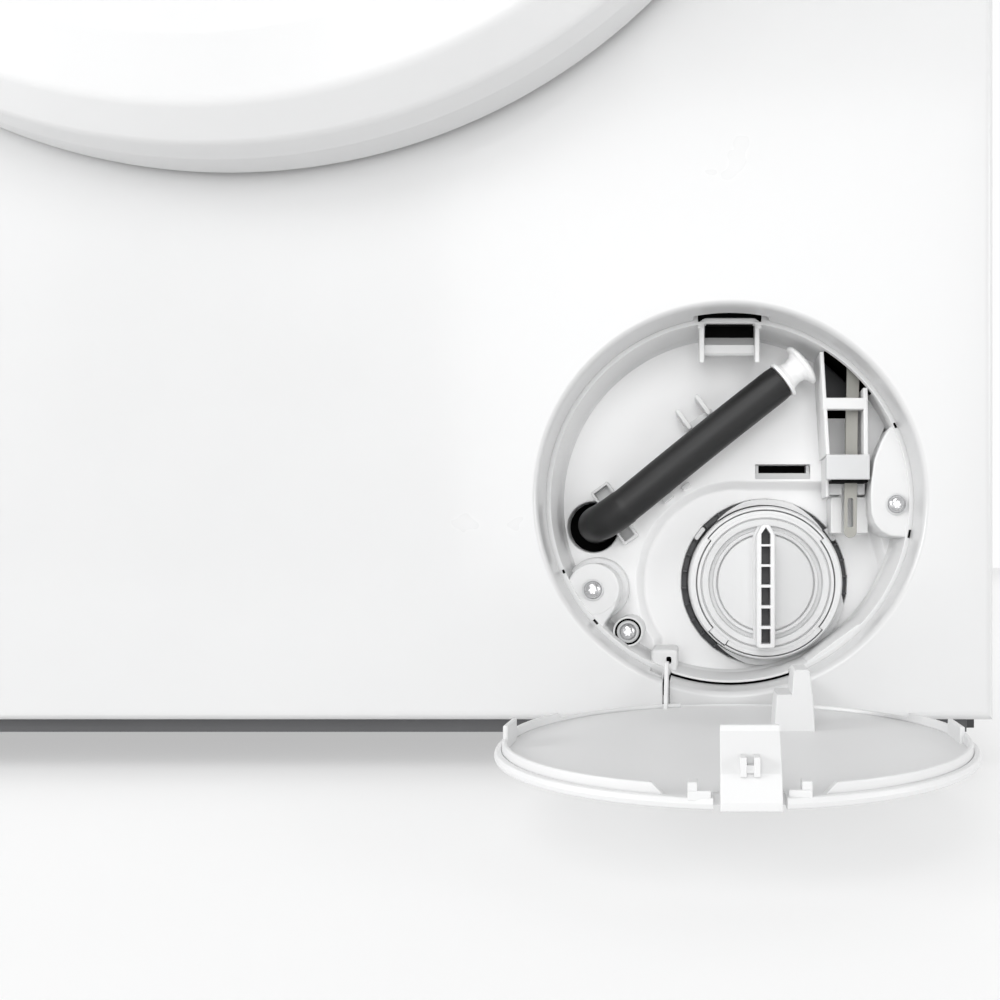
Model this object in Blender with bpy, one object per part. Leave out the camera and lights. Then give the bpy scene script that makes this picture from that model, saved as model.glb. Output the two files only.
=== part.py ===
"""Front-loading washer-dryer: steel cabinet, round door, detergent drawer, drum with its belt drive,
drying duct, and the round service hatch over the drain-pump filter, with its flap hanging open.

Metres, +Z up, the front faces -Y.  The origin is on the floor, midway between the tip of the open
service flap and the water inlet at the back.  "Depth" below means metres behind the front panel's face.
"""

import math

import bmesh
import bpy
from mathutils import Matrix, Vector

MM = 0.001

# ---- driving dimensions -------------------------------------------------------------------------
WIDTH = 598 * MM
HEIGHT = 848 * MM
FRONT_Y = -220 * MM              # face of the front panel
SHELL_REAR_Y = 350 * MM          # back of the steel shell
HALF_W = WIDTH / 2
SHEET = 1.2 * MM                 # sheet steel
GAP = 0.4 * MM                   # assembly gap between neighbours

PANEL_BOTTOM_Z = 22 * MM
PANEL_TOP_Z = 722 * MM
PANEL_DEPTH = 18 * MM            # side returns of the front panel
FASCIA_TOP_Z = 828 * MM
PLINTH_BOTTOM_Z = 15.9 * MM

DOOR_Z = 471 * MM                # axis of door, tub and drum, at X 0
DOOR_OPENING_R = 165 * MM
DOOR_R = 235 * MM
DOOR_HINGE = (-232 * MM, FRONT_Y - 22 * MM)
HINGE_PIN_R = 3 * MM

HATCH_X = 195.2 * MM
HATCH_Z = PANEL_BOTTOM_Z + 87.4 * MM
HATCH_R = 77.2 * MM              # mouth of the opening in the panel's face
LIP_R = 75.4 * MM                # the drawn lip behind it
LIP_END = 17 * MM
INSERT_R = 75.2 * MM
INSERT_WALL = 1.8 * MM
INSERT_FRONT = 17.6 * MM         # depths inside the hatch
PLATE_DEPTH = 44 * MM
TRAY_DEPTH = 50 * MM
PLATE_THICK = 2 * MM

FLAP_R = 74.6 * MM
FLAP_THICK = 2.6 * MM
FLAP_HINGE_DEPTH = 3.7 * MM
FLAP_HINGE_Z = PANEL_BOTTOM_Z + 8.1 * MM
FLAP_ROD_R = 1.5 * MM

PUMP_X = HATCH_X + 15.8 * MM     # axis of the pump filter
PUMP_Z = HATCH_Z - 34.2 * MM
PUMP_HOLE_R = 36.7 * MM
CAP_R = 33.4 * MM

HOSE_R = 7.5 * MM
HOSE_HOLE = (HATCH_X - 59.5 * MM, HATCH_Z - 10.0 * MM)
HOSE_HOLE_R = 11 * MM

TUB_R = 268 * MM
DRUM_R = 240 * MM
DRUM_PULLEY_R = 140 * MM
MOTOR_PULLEY_R = 12 * MM
MOTOR_X = -120 * MM
MOTOR_Z = 132 * MM
BELT_Y = 292 * MM

KNOB_X = -10 * MM
CONTROL_Z = 776 * MM

COLOURS = {  # name: (colour, roughness, metallic)
    "white_steel": ((0.86, 0.86, 0.86), 0.35, 0.0),
    "white_plastic": ((0.85, 0.85, 0.85), 0.45, 0.0),
    "grey_plastic": ((0.72, 0.72, 0.72), 0.5, 0.0),
    "strap_grey": ((0.38, 0.375, 0.35), 0.5, 0.0),
    "dark_plastic": ((0.08, 0.08, 0.085), 0.6, 0.0),
    "black_rubber": ((0.02, 0.02, 0.02), 0.6, 0.0),
    "seal_rubber": ((0.25, 0.25, 0.26), 0.7, 0.0),
    "steel": ((0.6, 0.6, 0.6), 0.3, 1.0),
    "galvanised": ((0.45, 0.46, 0.47), 0.45, 1.0),
    "glass": ((0.75, 0.8, 0.82), 0.05, 0.0),
    "smoked_glass": ((0.03, 0.03, 0.035), 0.08, 0.0),
    "cast_iron": ((0.12, 0.12, 0.12), 0.7, 0.8),
}


def depth(d):
    """World Y of a point d metres behind the front panel's face."""
    return FRONT_Y + d


# ---- making meshes ------------------------------------------------------------------------------
def material(name):
    found = bpy.data.materials.get(name)
    if found:
        return found
    colour, roughness, metallic = COLOURS[name]
    made = bpy.data.materials.new(name)
    made.use_nodes = True
    shader = made.node_tree.nodes["Principled BSDF"]
    shader.inputs["Base Color"].default_value = (*colour, 1.0)
    shader.inputs["Roughness"].default_value = roughness
    shader.inputs["Metallic"].default_value = metallic
    return made


def solid(name, points, faces, mat="white_plastic"):
    """A mesh object with its faces turned outwards."""
    mesh = bpy.data.meshes.new(name)
    mesh.from_pydata([tuple(p) for p in points], [], faces)
    bm = bmesh.new()
    bm.from_mesh(mesh)
    bmesh.ops.recalc_face_normals(bm, faces=bm.faces)
    bm.to_mesh(mesh)
    bm.free()
    obj = bpy.data.objects.new(name, mesh)
    bpy.context.scene.collection.objects.link(obj)
    obj.data.materials.append(material(mat))
    return obj


def lathe(name, profile, centre, mat="white_plastic", segments=32, axis="Y", start=0.0):
    """Turns a closed profile of (radius, position along the axis) about an axis through centre."""
    def place(radius, along, angle):
        u, v = radius * math.cos(angle), radius * math.sin(angle)
        if axis == "Y":
            return (centre[0] + u, along, centre[1] + v)
        if axis == "Z":
            return (centre[0] + u, centre[1] + v, along)
        return (along, centre[0] + u, centre[1] + v)

    points, rings = [], []
    for radius, along in profile:
        count = 1 if radius < 1e-7 else segments
        rings.append((len(points), count))
        for i in range(count):
            points.append(place(radius, along, start + 2 * math.pi * i / segments))
    faces = []
    for (a, na), (b, nb) in zip(rings, rings[1:] + rings[:1]):
        if na == 1 and nb == 1:
            continue
        for i in range(segments):
            j = (i + 1) % segments
            loop = [a + i % na, a + j % na, b + j % nb, b + i % nb]
            faces.append(list(dict.fromkeys(loop)))
    return solid(name, points, faces, mat)


def loft(name, first, t_first, second, t_second, axis="Y", mat="white_plastic"):
    """A solid between two outlines with the same number of points, at two places along the axis."""
    def place(p, t):
        if axis == "Y":
            return (p[0], t, p[1])
        if axis == "Z":
            return (p[0], p[1], t)
        return (t, p[0], p[1])

    n = len(first)
    points = [place(p, t_first) for p in first] + [place(p, t_second) for p in second]
    faces = [list(range(n)), list(range(n, 2 * n))]
    faces += [[i, (i + 1) % n, n + (i + 1) % n, n + i] for i in range(n)]
    return solid(name, points, faces, mat)


def prism(name, outline, low, high, axis="Y", mat="white_plastic"):
    return loft(name, outline, low, outline, high, axis, mat)


def box(name, low, high, mat="white_plastic", round_by=0.0, rounded=None, segments=3):
    """A box between two corners; round_by bevels its edges, or those for which rounded(edge) is true."""
    x0, y0, z0 = low
    x1, y1, z1 = high
    obj = prism(name, [(x0, z0), (x1, z0), (x1, z1), (x0, z1)], y0, y1, "Y", mat)
    if round_by:
        bm = bmesh.new()
        bm.from_mesh(obj.data)
        edges = [e for e in bm.edges if rounded is None or rounded(e)]
        bmesh.ops.bevel(bm, geom=edges, offset=round_by, segments=segments, profile=0.5,
                        affect="EDGES")
        bm.to_mesh(obj.data)
        bm.free()
    return obj


def cylinder(name, radius, centre, low, high, mat="white_plastic", segments=32, axis="Y"):
    return lathe(name, [(0, low), (radius, low), (radius, high), (0, high)], centre, mat,
                 segments, axis)


def boolean(target, operation, others):
    """Cuts the other objects from the target, or joins them to it, and removes them."""
    for other in others:
        step = target.modifiers.new(operation, "BOOLEAN")
        step.operation = operation
        step.solver = "EXACT"
        step.object = other
    graph = bpy.context.evaluated_depsgraph_get()
    done = bpy.data.meshes.new_from_object(target.evaluated_get(graph))
    target.modifiers.clear()
    bm = bmesh.new()
    bm.from_mesh(done)
    bmesh.ops.remove_doubles(bm, verts=bm.verts, dist=0.002 * MM)
    bm.to_mesh(done)
    bm.free()
    target.data = done
    for other in others:
        bpy.data.objects.remove(other)
    return target


def cut(target, *cutters):
    return boolean(target, "DIFFERENCE", cutters)


def join(target, *others):
    return boolean(target, "UNION", others)


def keep_inside(target, limit):
    return boolean(target, "INTERSECT", [limit])


def tube(name, points, radius, mat, sides=12):
    """A hose or rod along a smooth line: a bevelled poly curve with filled ends."""
    curve = bpy.data.curves.new(name, "CURVE")
    curve.dimensions = "3D"
    curve.bevel_depth = radius
    curve.bevel_resolution = sides // 4 - 1 if sides > 4 else 0
    curve.use_fill_caps = True
    line = curve.splines.new("POLY")
    line.points.add(len(points) - 1)
    for point, place in zip(line.points, points):
        point.co = (*place, 1.0)
    obj = bpy.data.objects.new(name, curve)
    bpy.context.scene.collection.objects.link(obj)
    curve.materials.append(material(mat))
    return obj


def smooth_line(points, per_span=6):
    """Points along a Catmull-Rom curve through the given ones."""
    given = [Vector(p) for p in points]
    ends = [2 * given[0] - given[1], *given, 2 * given[-1] - given[-2]]
    line = []
    for a, b, c, d in zip(ends, ends[1:], ends[2:], ends[3:]):
        for step in range(per_span):
            t = step / per_span
            line.append(0.5 * (2 * b + (c - a) * t + (2 * a - 5 * b + 4 * c - d) * t ** 2
                               + (3 * b - a - 3 * c + d) * t ** 3))
    return line + [given[-1]]


# ---- outlines -----------------------------------------------------------------------------------
def arc(x, z, radius, start, end, steps):
    """Points on an arc, angles in degrees."""
    found = []
    for i in range(steps + 1):
        a = math.radians(start + (end - start) * i / steps)
        found.append((x + radius * math.cos(a), z + radius * math.sin(a)))
    return found


def rounded_rectangle(x0, z0, x1, z1, radius, steps=4):
    return (arc(x1 - radius, z0 + radius, radius, -90, 0, steps)
            + arc(x1 - radius, z1 - radius, radius, 0, 90, steps)
            + arc(x0 + radius, z1 - radius, radius, 90, 180, steps)
            + arc(x0 + radius, z0 + radius, radius, 180, 270, steps))


def ribbon(line, half):
    """The closed outline of a strip of the given half thickness along an open 2-D line."""
    left, right = [], []
    for i, (x, y) in enumerate(line):
        before, after = line[max(i - 1, 0)], line[min(i + 1, len(line) - 1)]
        run = Vector((after[0] - before[0], after[1] - before[1])).normalized()
        left.append((x - run.y * half, y + run.x * half))
        right.append((x + run.y * half, y - run.x * half))
    return left + right[::-1]


def belt_outline(big, big_r, small, small_r, steps_big=28, steps_small=8):
    """The open loop of a belt round two pulleys, as one closed outline."""
    run = Vector(small) - Vector(big)
    lean = math.degrees(math.atan2(run.y, run.x))
    spread = math.degrees(math.acos((big_r - small_r) / run.length))
    return (arc(*big, big_r, lean + spread, lean + 360 - spread, steps_big)
            + arc(*small, small_r, lean - spread, lean + spread, steps_small))


# ---- placing ------------------------------------------------------------------------------------
def hatch(x, z, d):
    """A point given in millimetres right of, above and behind the centre of the hatch opening."""
    return (HATCH_X + x * MM, depth(d * MM), HATCH_Z + z * MM)


def hatch_outline(points):
    return [(HATCH_X + x * MM, HATCH_Z + z * MM) for x, z in points]


def hatch_box(name, x0, x1, z0, z1, d0, d1, mat="white_plastic", **more):
    return box(name, hatch(x0, z0, d0), hatch(x1, z1, d1), mat, **more)


def hatch_prism(name, points, d0, d1, mat="white_plastic"):
    return prism(name, hatch_outline(points), depth(d0 * MM), depth(d1 * MM), "Y", mat)


def hatch_cylinder(name, radius, x, z, d0, d1, mat="white_plastic", segments=24):
    return cylinder(name, radius * MM, (HATCH_X + x * MM, HATCH_Z + z * MM), depth(d0 * MM),
                    depth(d1 * MM), mat, segments)


def hatch_lathe(name, profile, mat="white_plastic", segments=48, x=0.0, z=0.0):
    """Turns a profile of (radius, depth) in millimetres about an axis of the hatch."""
    turned = [(r * MM, depth(d * MM)) for r, d in profile]
    return lathe(name, turned, (HATCH_X + x * MM, HATCH_Z + z * MM), mat, segments)


def door_lathe(name, profile, mat, segments=32):
    """Turns a profile of (radius, depth) in millimetres about the door's axis."""
    return lathe(name, [(r * MM, depth(d * MM)) for r, d in profile], (0, DOOR_Z), mat, segments)


def pivot(name, place, pieces):
    """Puts an empty on a joint's axis and hangs its pieces on it, with their origins there too."""
    empty = bpy.data.objects.new(name, None)
    empty.location = place
    empty.empty_display_size = 0.02
    bpy.context.scene.collection.objects.link(empty)
    for piece in pieces:
        if piece.type == "MESH":
            piece.data.transform(Matrix.Translation(-Vector(place)))
            piece.location = (0, 0, 0)
        else:
            piece.location = -Vector(place)
        piece.parent = empty
    return empty


def shade(obj, angle=32):
    """Smooth shading with the sharp edges kept."""
    if obj.type == "MESH":
        obj.data.shade_smooth()
        obj.data.set_sharp_from_angle(angle=math.radians(angle))


# ---- cabinet ------------------------------------------------------------------------------------
def front_vertical_or_bottom(edge):
    """True for the front edges of a box except its top one."""
    a, b = edge.verts
    front = abs(a.co.y - FRONT_Y) < 1e-6 and abs(b.co.y - FRONT_Y) < 1e-6
    top = a.co.z > PANEL_TOP_Z - 1e-6 and b.co.z > PANEL_TOP_Z - 1e-6
    return front and not top


def hole_cutter(radius, end_depth, roll, centre, segments=48):
    """A cutter for a drawn hole: straight bore with its front edge rolled outwards."""
    rolled = []
    for i in range(3):
        a = math.radians(90 * i / 3)
        rolled.append((radius + roll * (1 - math.sin(a)), depth(roll * (1 - math.cos(a)))))
    profile = [(0, depth(-5 * MM)), (radius + roll, depth(-5 * MM)), *rolled,
               (radius, depth(roll)), (radius, end_depth), (0, end_depth)]
    return lathe("cutter", profile, centre, segments=segments)


def arm_notches():
    """Where the flap's two hinge arms pass the rolled lip and the rim of the insert."""
    return [hatch_box("cutter", -26.9, -24.1, -81.4, -62, -1, 21.6),
            hatch_box("cutter", 24.1, 26.9, -81.4, -62, -1, 21.6)]


def make_front_panel():
    panel = box("front_panel", (-HALF_W, FRONT_Y, PANEL_BOTTOM_Z),
                (HALF_W, FRONT_Y + PANEL_DEPTH, PANEL_TOP_Z), "white_steel", 4 * MM,
                front_vertical_or_bottom)
    cut(panel, box("cutter", (-HALF_W + SHEET, FRONT_Y + SHEET, PANEL_BOTTOM_Z + SHEET),
                   (HALF_W - SHEET, FRONT_Y + 40 * MM, PANEL_TOP_Z - SHEET), round_by=2.8 * MM))
    hatch_centre, door_centre = (HATCH_X, HATCH_Z), (0, DOOR_Z)
    join(panel, cylinder("boss", LIP_R + SHEET, hatch_centre, depth(0.6 * MM), depth(LIP_END),
                         segments=48),
         cylinder("boss", DOOR_OPENING_R + SHEET, door_centre, depth(0.6 * MM),
                  depth(30 * MM), segments=32),
         hatch_box("lug", 33.9, 36.5, -84.5, -76.4, 0.6, 7.0),
         hatch_box("lug", -32.5, -29.9, -84.5, -76.4, 0.6, 7.0))
    cut(panel, hole_cutter(DOOR_OPENING_R, depth(60 * MM), 2.4 * MM, door_centre, 32))
    cut(panel, hole_cutter(LIP_R, depth(30 * MM), HATCH_R - LIP_R, hatch_centre))
    cut(panel, box("cutter", (202 * MM, depth(-5 * MM), DOOR_Z - 8 * MM),
            (216 * MM, depth(5 * MM), DOOR_Z + 8 * MM)),
        cylinder("cutter", 1.9 * MM, (depth(3.7 * MM), FLAP_HINGE_Z), HATCH_X - 40 * MM,
                 HATCH_X + 45 * MM, segments=16, axis="X"),
        *arm_notches())
    return panel


def make_cabinet_shell():
    shell = box("cabinet_shell", (-HALF_W, depth(PANEL_DEPTH + GAP), PANEL_BOTTOM_Z),
                (HALF_W, SHELL_REAR_Y, FASCIA_TOP_Z), "white_steel", 6 * MM,
                lambda e: all(v.co.y > SHELL_REAR_Y - 1e-6 for v in e.verts)
                and abs(e.verts[0].co.z - e.verts[1].co.z) > 0.1)
    cut(shell, box("cutter", (-HALF_W + SHEET, FRONT_Y - 0.1, -0.1),
                   (HALF_W - SHEET, SHELL_REAR_Y - SHEET, 1.0), round_by=4.8 * MM))
    cut(shell, box("cutter", (-190 * MM, 0.3, 90 * MM), (190 * MM, 0.4, 690 * MM)),
        cylinder("cutter", 11.6 * MM, (-0.225, 0.770), 0.3, 0.4, segments=24),
        cylinder("cutter", 11.6 * MM, (-0.250, 0.060), 0.3, 0.4, segments=24))
    # the cabinet steps round the narrower control fascia at the top front
    cut(shell, box("cutter", (-0.4, -0.4, PANEL_TOP_Z + GAP), (0.4, depth(40.4 * MM), 0.9)))
    return shell


def make_base_pan():
    pan = box("base_pan", (-296 * MM, depth(19 * MM), PLINTH_BOTTOM_Z),
              (296 * MM, 345 * MM, 31 * MM), "dark_plastic")
    cut(pan, box("cutter", (-293 * MM, depth(22 * MM), 18.9 * MM), (293 * MM, 342 * MM, 0.1)))
    join(pan, box("plinth", (-290 * MM, depth(8 * MM), PLINTH_BOTTOM_Z + 0.3 * MM),
                  (290 * MM, depth(20 * MM), 21.6 * MM)))
    cut(pan, *(cylinder("cutter", 5.6 * MM, (x, y), 0, 0.05, segments=16, axis="Z")
               for x, y in FEET))
    return pan


FEET = [(x, y) for y in (depth(60 * MM), depth(520 * MM)) for x in (-250 * MM, 250 * MM)]


def make_feet():
    profile = [(0, 0), (19, 0), (21, 2), (20, 8), (9, 10.5), (9, 14.5), (5, 15.2), (5, 28), (0, 28)]
    names = ("foot_front_left", "foot_front_right", "foot_rear_left", "foot_rear_right")
    return [lathe(name, [(r * MM, z * MM) for r, z in profile], place, "dark_plastic", 12, "Z")
            for name, place in zip(names, FEET)]


def make_worktop():
    return box("worktop", (-HALF_W, FRONT_Y, FASCIA_TOP_Z + GAP), (HALF_W, 352 * MM, HEIGHT),
               "white_plastic", 3 * MM, segments=2)


def make_rear_panel():
    panel = box("rear_panel", (-202 * MM, SHELL_REAR_Y + GAP, 78 * MM),
                (202 * MM, SHELL_REAR_Y + 4 * MM, 702 * MM), "galvanised")
    cut(panel, box("cutter", (-190 * MM, 0.3, 90 * MM), (190 * MM, 352.8 * MM, 690 * MM)))
    return panel


# ---- control panel and detergent drawer ---------------------------------------------------------
DRAWER_X = (-284 * MM, -116 * MM)
DRAWER_Z = (735.6 * MM, 814.4 * MM)
WINDOW = (48 * MM, 202 * MM, 750 * MM, 802 * MM)
BUTTONS = {"power_button": -76 * MM, "start_button": 246 * MM}
BUTTON_R = 8 * MM


def make_fascia():
    fascia = box("control_fascia", (-HALF_W, FRONT_Y, PANEL_TOP_Z + GAP),
                 (HALF_W, depth(40 * MM), FASCIA_TOP_Z), "white_plastic", 4 * MM,
                 lambda e: all(v.co.y < FRONT_Y + 1e-6 for v in e.verts)
                 and abs(e.verts[0].co.z - e.verts[1].co.z) > 0.05)
    cut(fascia, box("cutter", (-296.5 * MM, depth(2.5 * MM), 724.9 * MM),
                    (296.5 * MM, 0, 825.5 * MM)))
    x0, x1, z0, z1 = WINDOW
    cut(fascia,
        box("cutter", (DRAWER_X[0] - 0.6 * MM, -0.4, DRAWER_Z[0] - 0.6 * MM),
            (DRAWER_X[1] + 0.6 * MM, 0, DRAWER_Z[1] + 0.6 * MM)),
        prism("cutter", rounded_rectangle(x0 - GAP, z0 - GAP, x1 + GAP, z1 + GAP, 6 * MM, 3),
              -0.3, depth(1.6 * MM)),
        cylinder("cutter", 5 * MM, (KNOB_X, CONTROL_Z), -0.3, 0, segments=24),
        *(cylinder("cutter", BUTTON_R + GAP, (x, CONTROL_Z), -0.3, 0, segments=24)
          for x in BUTTONS.values()))
    return fascia


def make_controls():
    x0, x1, z0, z1 = WINDOW
    window = prism("display_window", rounded_rectangle(x0, z0, x1, z1, 5.6 * MM, 3),
                   depth(-0.4 * MM), depth(1.2 * MM), "Y", "smoked_glass")
    knob = lathe("program_knob",
                 [(r * MM, depth(d * MM)) for r, d in
                  ((0, -22), (20, -22), (23.5, -20), (25, -6), (28, -3.4), (28, -0.5), (4.5, -0.5),
                   (4.5, 14), (0, 14))],
                 (KNOB_X, CONTROL_Z), "white_plastic", 24)
    join(knob, box("mark", (KNOB_X - 1.5 * MM, depth(-23 * MM), CONTROL_Z + 6 * MM),
                   (KNOB_X + 1.5 * MM, depth(-18 * MM), CONTROL_Z + 19 * MM)))
    pivot("program_knob_axis", (KNOB_X, depth(-10 * MM), CONTROL_Z), [knob])
    for name, x in BUTTONS.items():
        button = lathe(name, [(r * MM, depth(d * MM)) for r, d in
                              ((0, -2.4), (7, -2.4), (8, -1.4), (8, 8), (0, 8))],
                       (x, CONTROL_Z), "grey_plastic", 24)
        pivot(name + "_axis", (x, depth(0), CONTROL_Z), [button])
    return window


def make_drawer():
    x0, x1, z0, z1 = DRAWER_X[0], DRAWER_X[1], DRAWER_Z[0], DRAWER_Z[1]
    drawer = box("detergent_drawer", (x0, FRONT_Y, z0), (x1, depth(16 * MM), z1),
                 "white_plastic", 2 * MM, lambda e: all(v.co.y < FRONT_Y + 1e-6 for v in e.verts))
    join(drawer, box("tray", (x0 + 6 * MM, depth(10 * MM), z0 + 6 * MM),
                     (x1 - 6 * MM, depth(246 * MM), z1 - 14 * MM)))
    pockets = [(-275.5, -224), (-221.5, -178), (-175.5, -124.5)]
    cut(drawer, *(box("cutter", (a * MM, depth(18 * MM), z0 + 8.5 * MM),
                      (b * MM, depth(243 * MM), 0.9)) for a, b in pockets))
    # finger pull along the lower edge of the front
    cut(drawer, box("cutter", (x0 + 30 * MM, depth(3 * MM), z0 - 5 * MM),
                    (x1 - 30 * MM, depth(14 * MM), z0 + 20 * MM)))
    pivot("detergent_drawer_slide", (-200 * MM, depth(0), 775 * MM), [drawer])


def make_dispenser_box():
    tray = box("dispenser_box", (-286 * MM, depth(42 * MM), 733 * MM),
               (-114 * MM, depth(262 * MM), 812 * MM), "grey_plastic")
    cut(tray, box("cutter", (-280 * MM, depth(20 * MM), 739 * MM),
                  (-120 * MM, depth(258 * MM), 806 * MM)))
    return tray


# ---- door ---------------------------------------------------------------------------------------
def door_box(name, x0, x1, z0, z1, d0, d1, mat="white_plastic"):
    """A box whose Z limits are measured from the door's axis; all in millimetres."""
    return box(name, (x0 * MM, depth(d0 * MM), DOOR_Z + z0 * MM),
               (x1 * MM, depth(d1 * MM), DOOR_Z + z1 * MM), mat)


def make_door():
    hinge_x, hinge_y = DOOR_HINGE
    ring = door_lathe("door_ring_outer",
                      [(148, -28), (148, -33), (156, -39), (200, -39), (222, -35), (233, -25),
                       (235, -16), (235, -3), (231.5, -3), (231.5, -15), (221, -31),
                       (200, -35.5), (157, -35.5), (152, -31), (152, -28)], "white_plastic")
    join(ring, door_box("lug", -236.5, -225, 55.5, 60.9, -26, -14),
         door_box("lug", -236.5, -225, -60.9, -55.5, -26, -14))
    cut(ring, cylinder("cutter", 3.4 * MM, (hinge_x, hinge_y), DOOR_Z - 0.08, DOOR_Z + 0.08,
                       segments=16, axis="Z"))
    cover = door_lathe("door_cover", [(0, -37), (80, -36.5), (130, -35), (147.4, -32.5),
                                      (147.4, -29.5), (120, -32.6), (0, -34)],
                       "smoked_glass", 32)
    inner = door_lathe("door_ring_inner", [(157, -12), (157, -3), (230.9, -3), (230.9, -6),
                                           (165, -6), (165, -12)], "grey_plastic")
    cut(inner, door_box("cutter", 201, 216, -8, 8, -20, 5))
    glass = door_lathe("door_glass", [(156.4, -10), (156.4, -5), (147, -4), (142, 20), (120, 60),
                                      (95, 72), (0, 74), (0, 69), (94, 67), (116, 56), (137, 18),
                                      (142, -6), (150, -10)], "glass", 32)
    grip_line = [(p[0], p[1] + DOOR_Z) for p in arc(0, 0, 0.205, -18, 18, 8)]
    handle = prism("door_handle", ribbon(grip_line, 7 * MM), depth(-53 * MM), depth(-46 * MM))
    for angle in (-16, 16):
        a = math.radians(angle)
        join(handle, cylinder("foot", 6 * MM, (0.205 * math.cos(a), DOOR_Z + 0.205 * math.sin(a)),
                              depth(-48 * MM), depth(-39.8 * MM), segments=16))
    hook_line = [(205, -10), (209, -10), (209, 10), (212.5, 12), (212.5, 15), (205, 15)]
    hook = prism("door_hook", [(x * MM, depth(d * MM)) for x, d in hook_line],
                 DOOR_Z - 6 * MM, DOOR_Z + 6 * MM, "Z", "steel")
    pivot("door_hook_axis", (207 * MM, depth(-8 * MM), DOOR_Z), [hook])
    pivot("door_axis", (hinge_x, hinge_y, DOOR_Z), [ring, cover, inner, glass, handle])


def make_door_hinge():
    hinge_x, hinge_y = DOOR_HINGE
    bracket = door_box("door_hinge", -237, -228.5, -69, 69, -2.3, -0.4, "galvanised")
    for low, high in ((61.5, 69), (-69, -61.5)):
        join(bracket, door_box("arm", -237, -228.5, low, high, -26, -1))
    for low, high in ((55, 65), (-65, -55)):
        join(bracket, cylinder("pin", HINGE_PIN_R, (hinge_x, hinge_y), DOOR_Z + low * MM,
                               DOOR_Z + high * MM, segments=16, axis="Z"))
    return bracket


def make_door_fixings():
    lock = door_box("door_lock", 217, 242, -32, 32, 2, 38, "dark_plastic")
    cut(lock, door_box("cutter", 210, 221, -8, 8, 6, 22))
    seal_line = [(163, 10), (145.6, 15), (163, 22), (163, 34), (172, 40), (162, 48), (172, 56),
                 (156, 62), (156, 76)]
    seal = door_lathe("door_seal", ribbon(seal_line, 1.1), "seal_rubber", 32)
    return lock, seal


# ---- tub, drum and drive ------------------------------------------------------------------------
def make_tub():
    front = door_lathe("tub_front", [(158, 64), (158, 78), (262, 85), (262, 200), (268, 200),
                                     (268, 80), (250, 74), (163, 70), (163, 64)], "grey_plastic")
    rear = door_lathe("tub_rear", [(262, 200.4), (262, 460), (14, 460), (14, 492),
                                   (40, 492), (50, 468), (268, 468), (268, 200.4)],
                      "grey_plastic")
    return front, rear


def lifter_outline(angle):
    a = math.radians(angle)
    shape = [(-28, 237.0), (0, 238.7), (28, 237.0), (8, 196), (-8, 196)]
    return [((x * math.cos(a) - r * math.sin(a)) * MM,
             DOOR_Z + (x * math.sin(a) + r * math.cos(a)) * MM) for x, r in shape]


def make_drum():
    drum = door_lathe("drum", [(155, 90), (230, 90), (240, 100), (240, 440), (0, 440), (0, 438),
                               (238, 438), (238, 101), (229, 92), (155, 92)], "steel", 32)
    join(drum, *(prism("lifter", lifter_outline(a), depth(102 * MM), depth(420 * MM))
                 for a in (0, 120, 240)))
    spider = door_lathe("drum_spider", [(0, 441), (30, 441), (30, 456), (12, 456), (12, 522.6),
                                        (16, 522.6), (16, 530), (0, 530)], "galvanised", 20)
    for angle in (30, 150, 270):
        line = [(math.cos(math.radians(angle)) * r * MM,
                 DOOR_Z + math.sin(math.radians(angle)) * r * MM) for r in (10, 225)]
        join(spider, prism("arm", ribbon(line, 14 * MM), depth(442 * MM), depth(452 * MM)))
    pulley = door_lathe("drum_pulley", [(12.4, 500), (22, 500), (22, 508), (132, 508), (132, 503),
                                        (139, 503), (139, 521), (132, 521), (132, 514), (22, 514),
                                        (22, 522), (12.4, 522)], "galvanised", 24)
    pivot("drum_axis", (0, depth(300 * MM), DOOR_Z), [drum, spider, pulley])


def make_drive():
    big, small = (0, DOOR_Z), (MOTOR_X, MOTOR_Z)
    belt = prism("drive_belt", belt_outline(big, 143 * MM, small, 16 * MM), depth(505 * MM),
                 depth(519 * MM), "Y", "black_rubber")
    cut(belt, prism("cutter", belt_outline(big, 139.6 * MM, small, 12.5 * MM), 0.2, 0.4))
    motor = lathe("motor", [(r * MM, depth(d * MM)) for r, d in
                            ((0, 330), (45, 330), (52, 338), (52, 460), (45, 468), (20, 468),
                             (20, 480), (0, 480))], small, "galvanised", 20)
    pulley = lathe("motor_pulley", [(r * MM, depth(d * MM)) for r, d in
                                    ((0, 481), (8, 481), (8, 500), (12, 500), (12, 524), (0, 524))],
                   small, "steel", 16)
    pivot("motor_axis", (MOTOR_X, depth(500 * MM), MOTOR_Z), [pulley])
    return belt, motor


def helix(x, y, z0, z1, radius, turns, per_turn=6):
    line = []
    for i in range(turns * per_turn + 1):
        a = 2 * math.pi * i / per_turn
        line.append((x + radius * math.cos(a), y + radius * math.sin(a),
                     z0 + (z1 - z0) * i / (turns * per_turn)))
    return line


def make_suspension():
    for side, x in (("left", -1), ("right", 1)):
        tube("tub_spring_" + side, helix(x * 240 * MM, depth(330 * MM), 0.622, 0.812, 10 * MM, 6),
             1.6 * MM, "steel", 4)
        lathe("tub_damper_" + side, [(r * MM, z * MM) for r, z in
                                     ((0, 19.6), (13, 19.6), (13, 140), (6, 142), (6, 242),
                                      (0, 242))],
              (x * 150 * MM, depth(260 * MM)), "dark_plastic", 12, "Z")
    box("counterweight_top", (-100 * MM, depth(130 * MM), 742 * MM),
        (45 * MM, depth(400 * MM), 806 * MM), "cast_iron", 6 * MM, segments=1)
    sector = [(x, z + DOOR_Z) for x, z in
              arc(0, 0, 0.178, 208, 332, 24) + arc(0, 0, 0.256, 332, 208, 24)]
    prism("counterweight_front", sector, depth(34 * MM), depth(62 * MM), "Y", "cast_iron")


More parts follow.
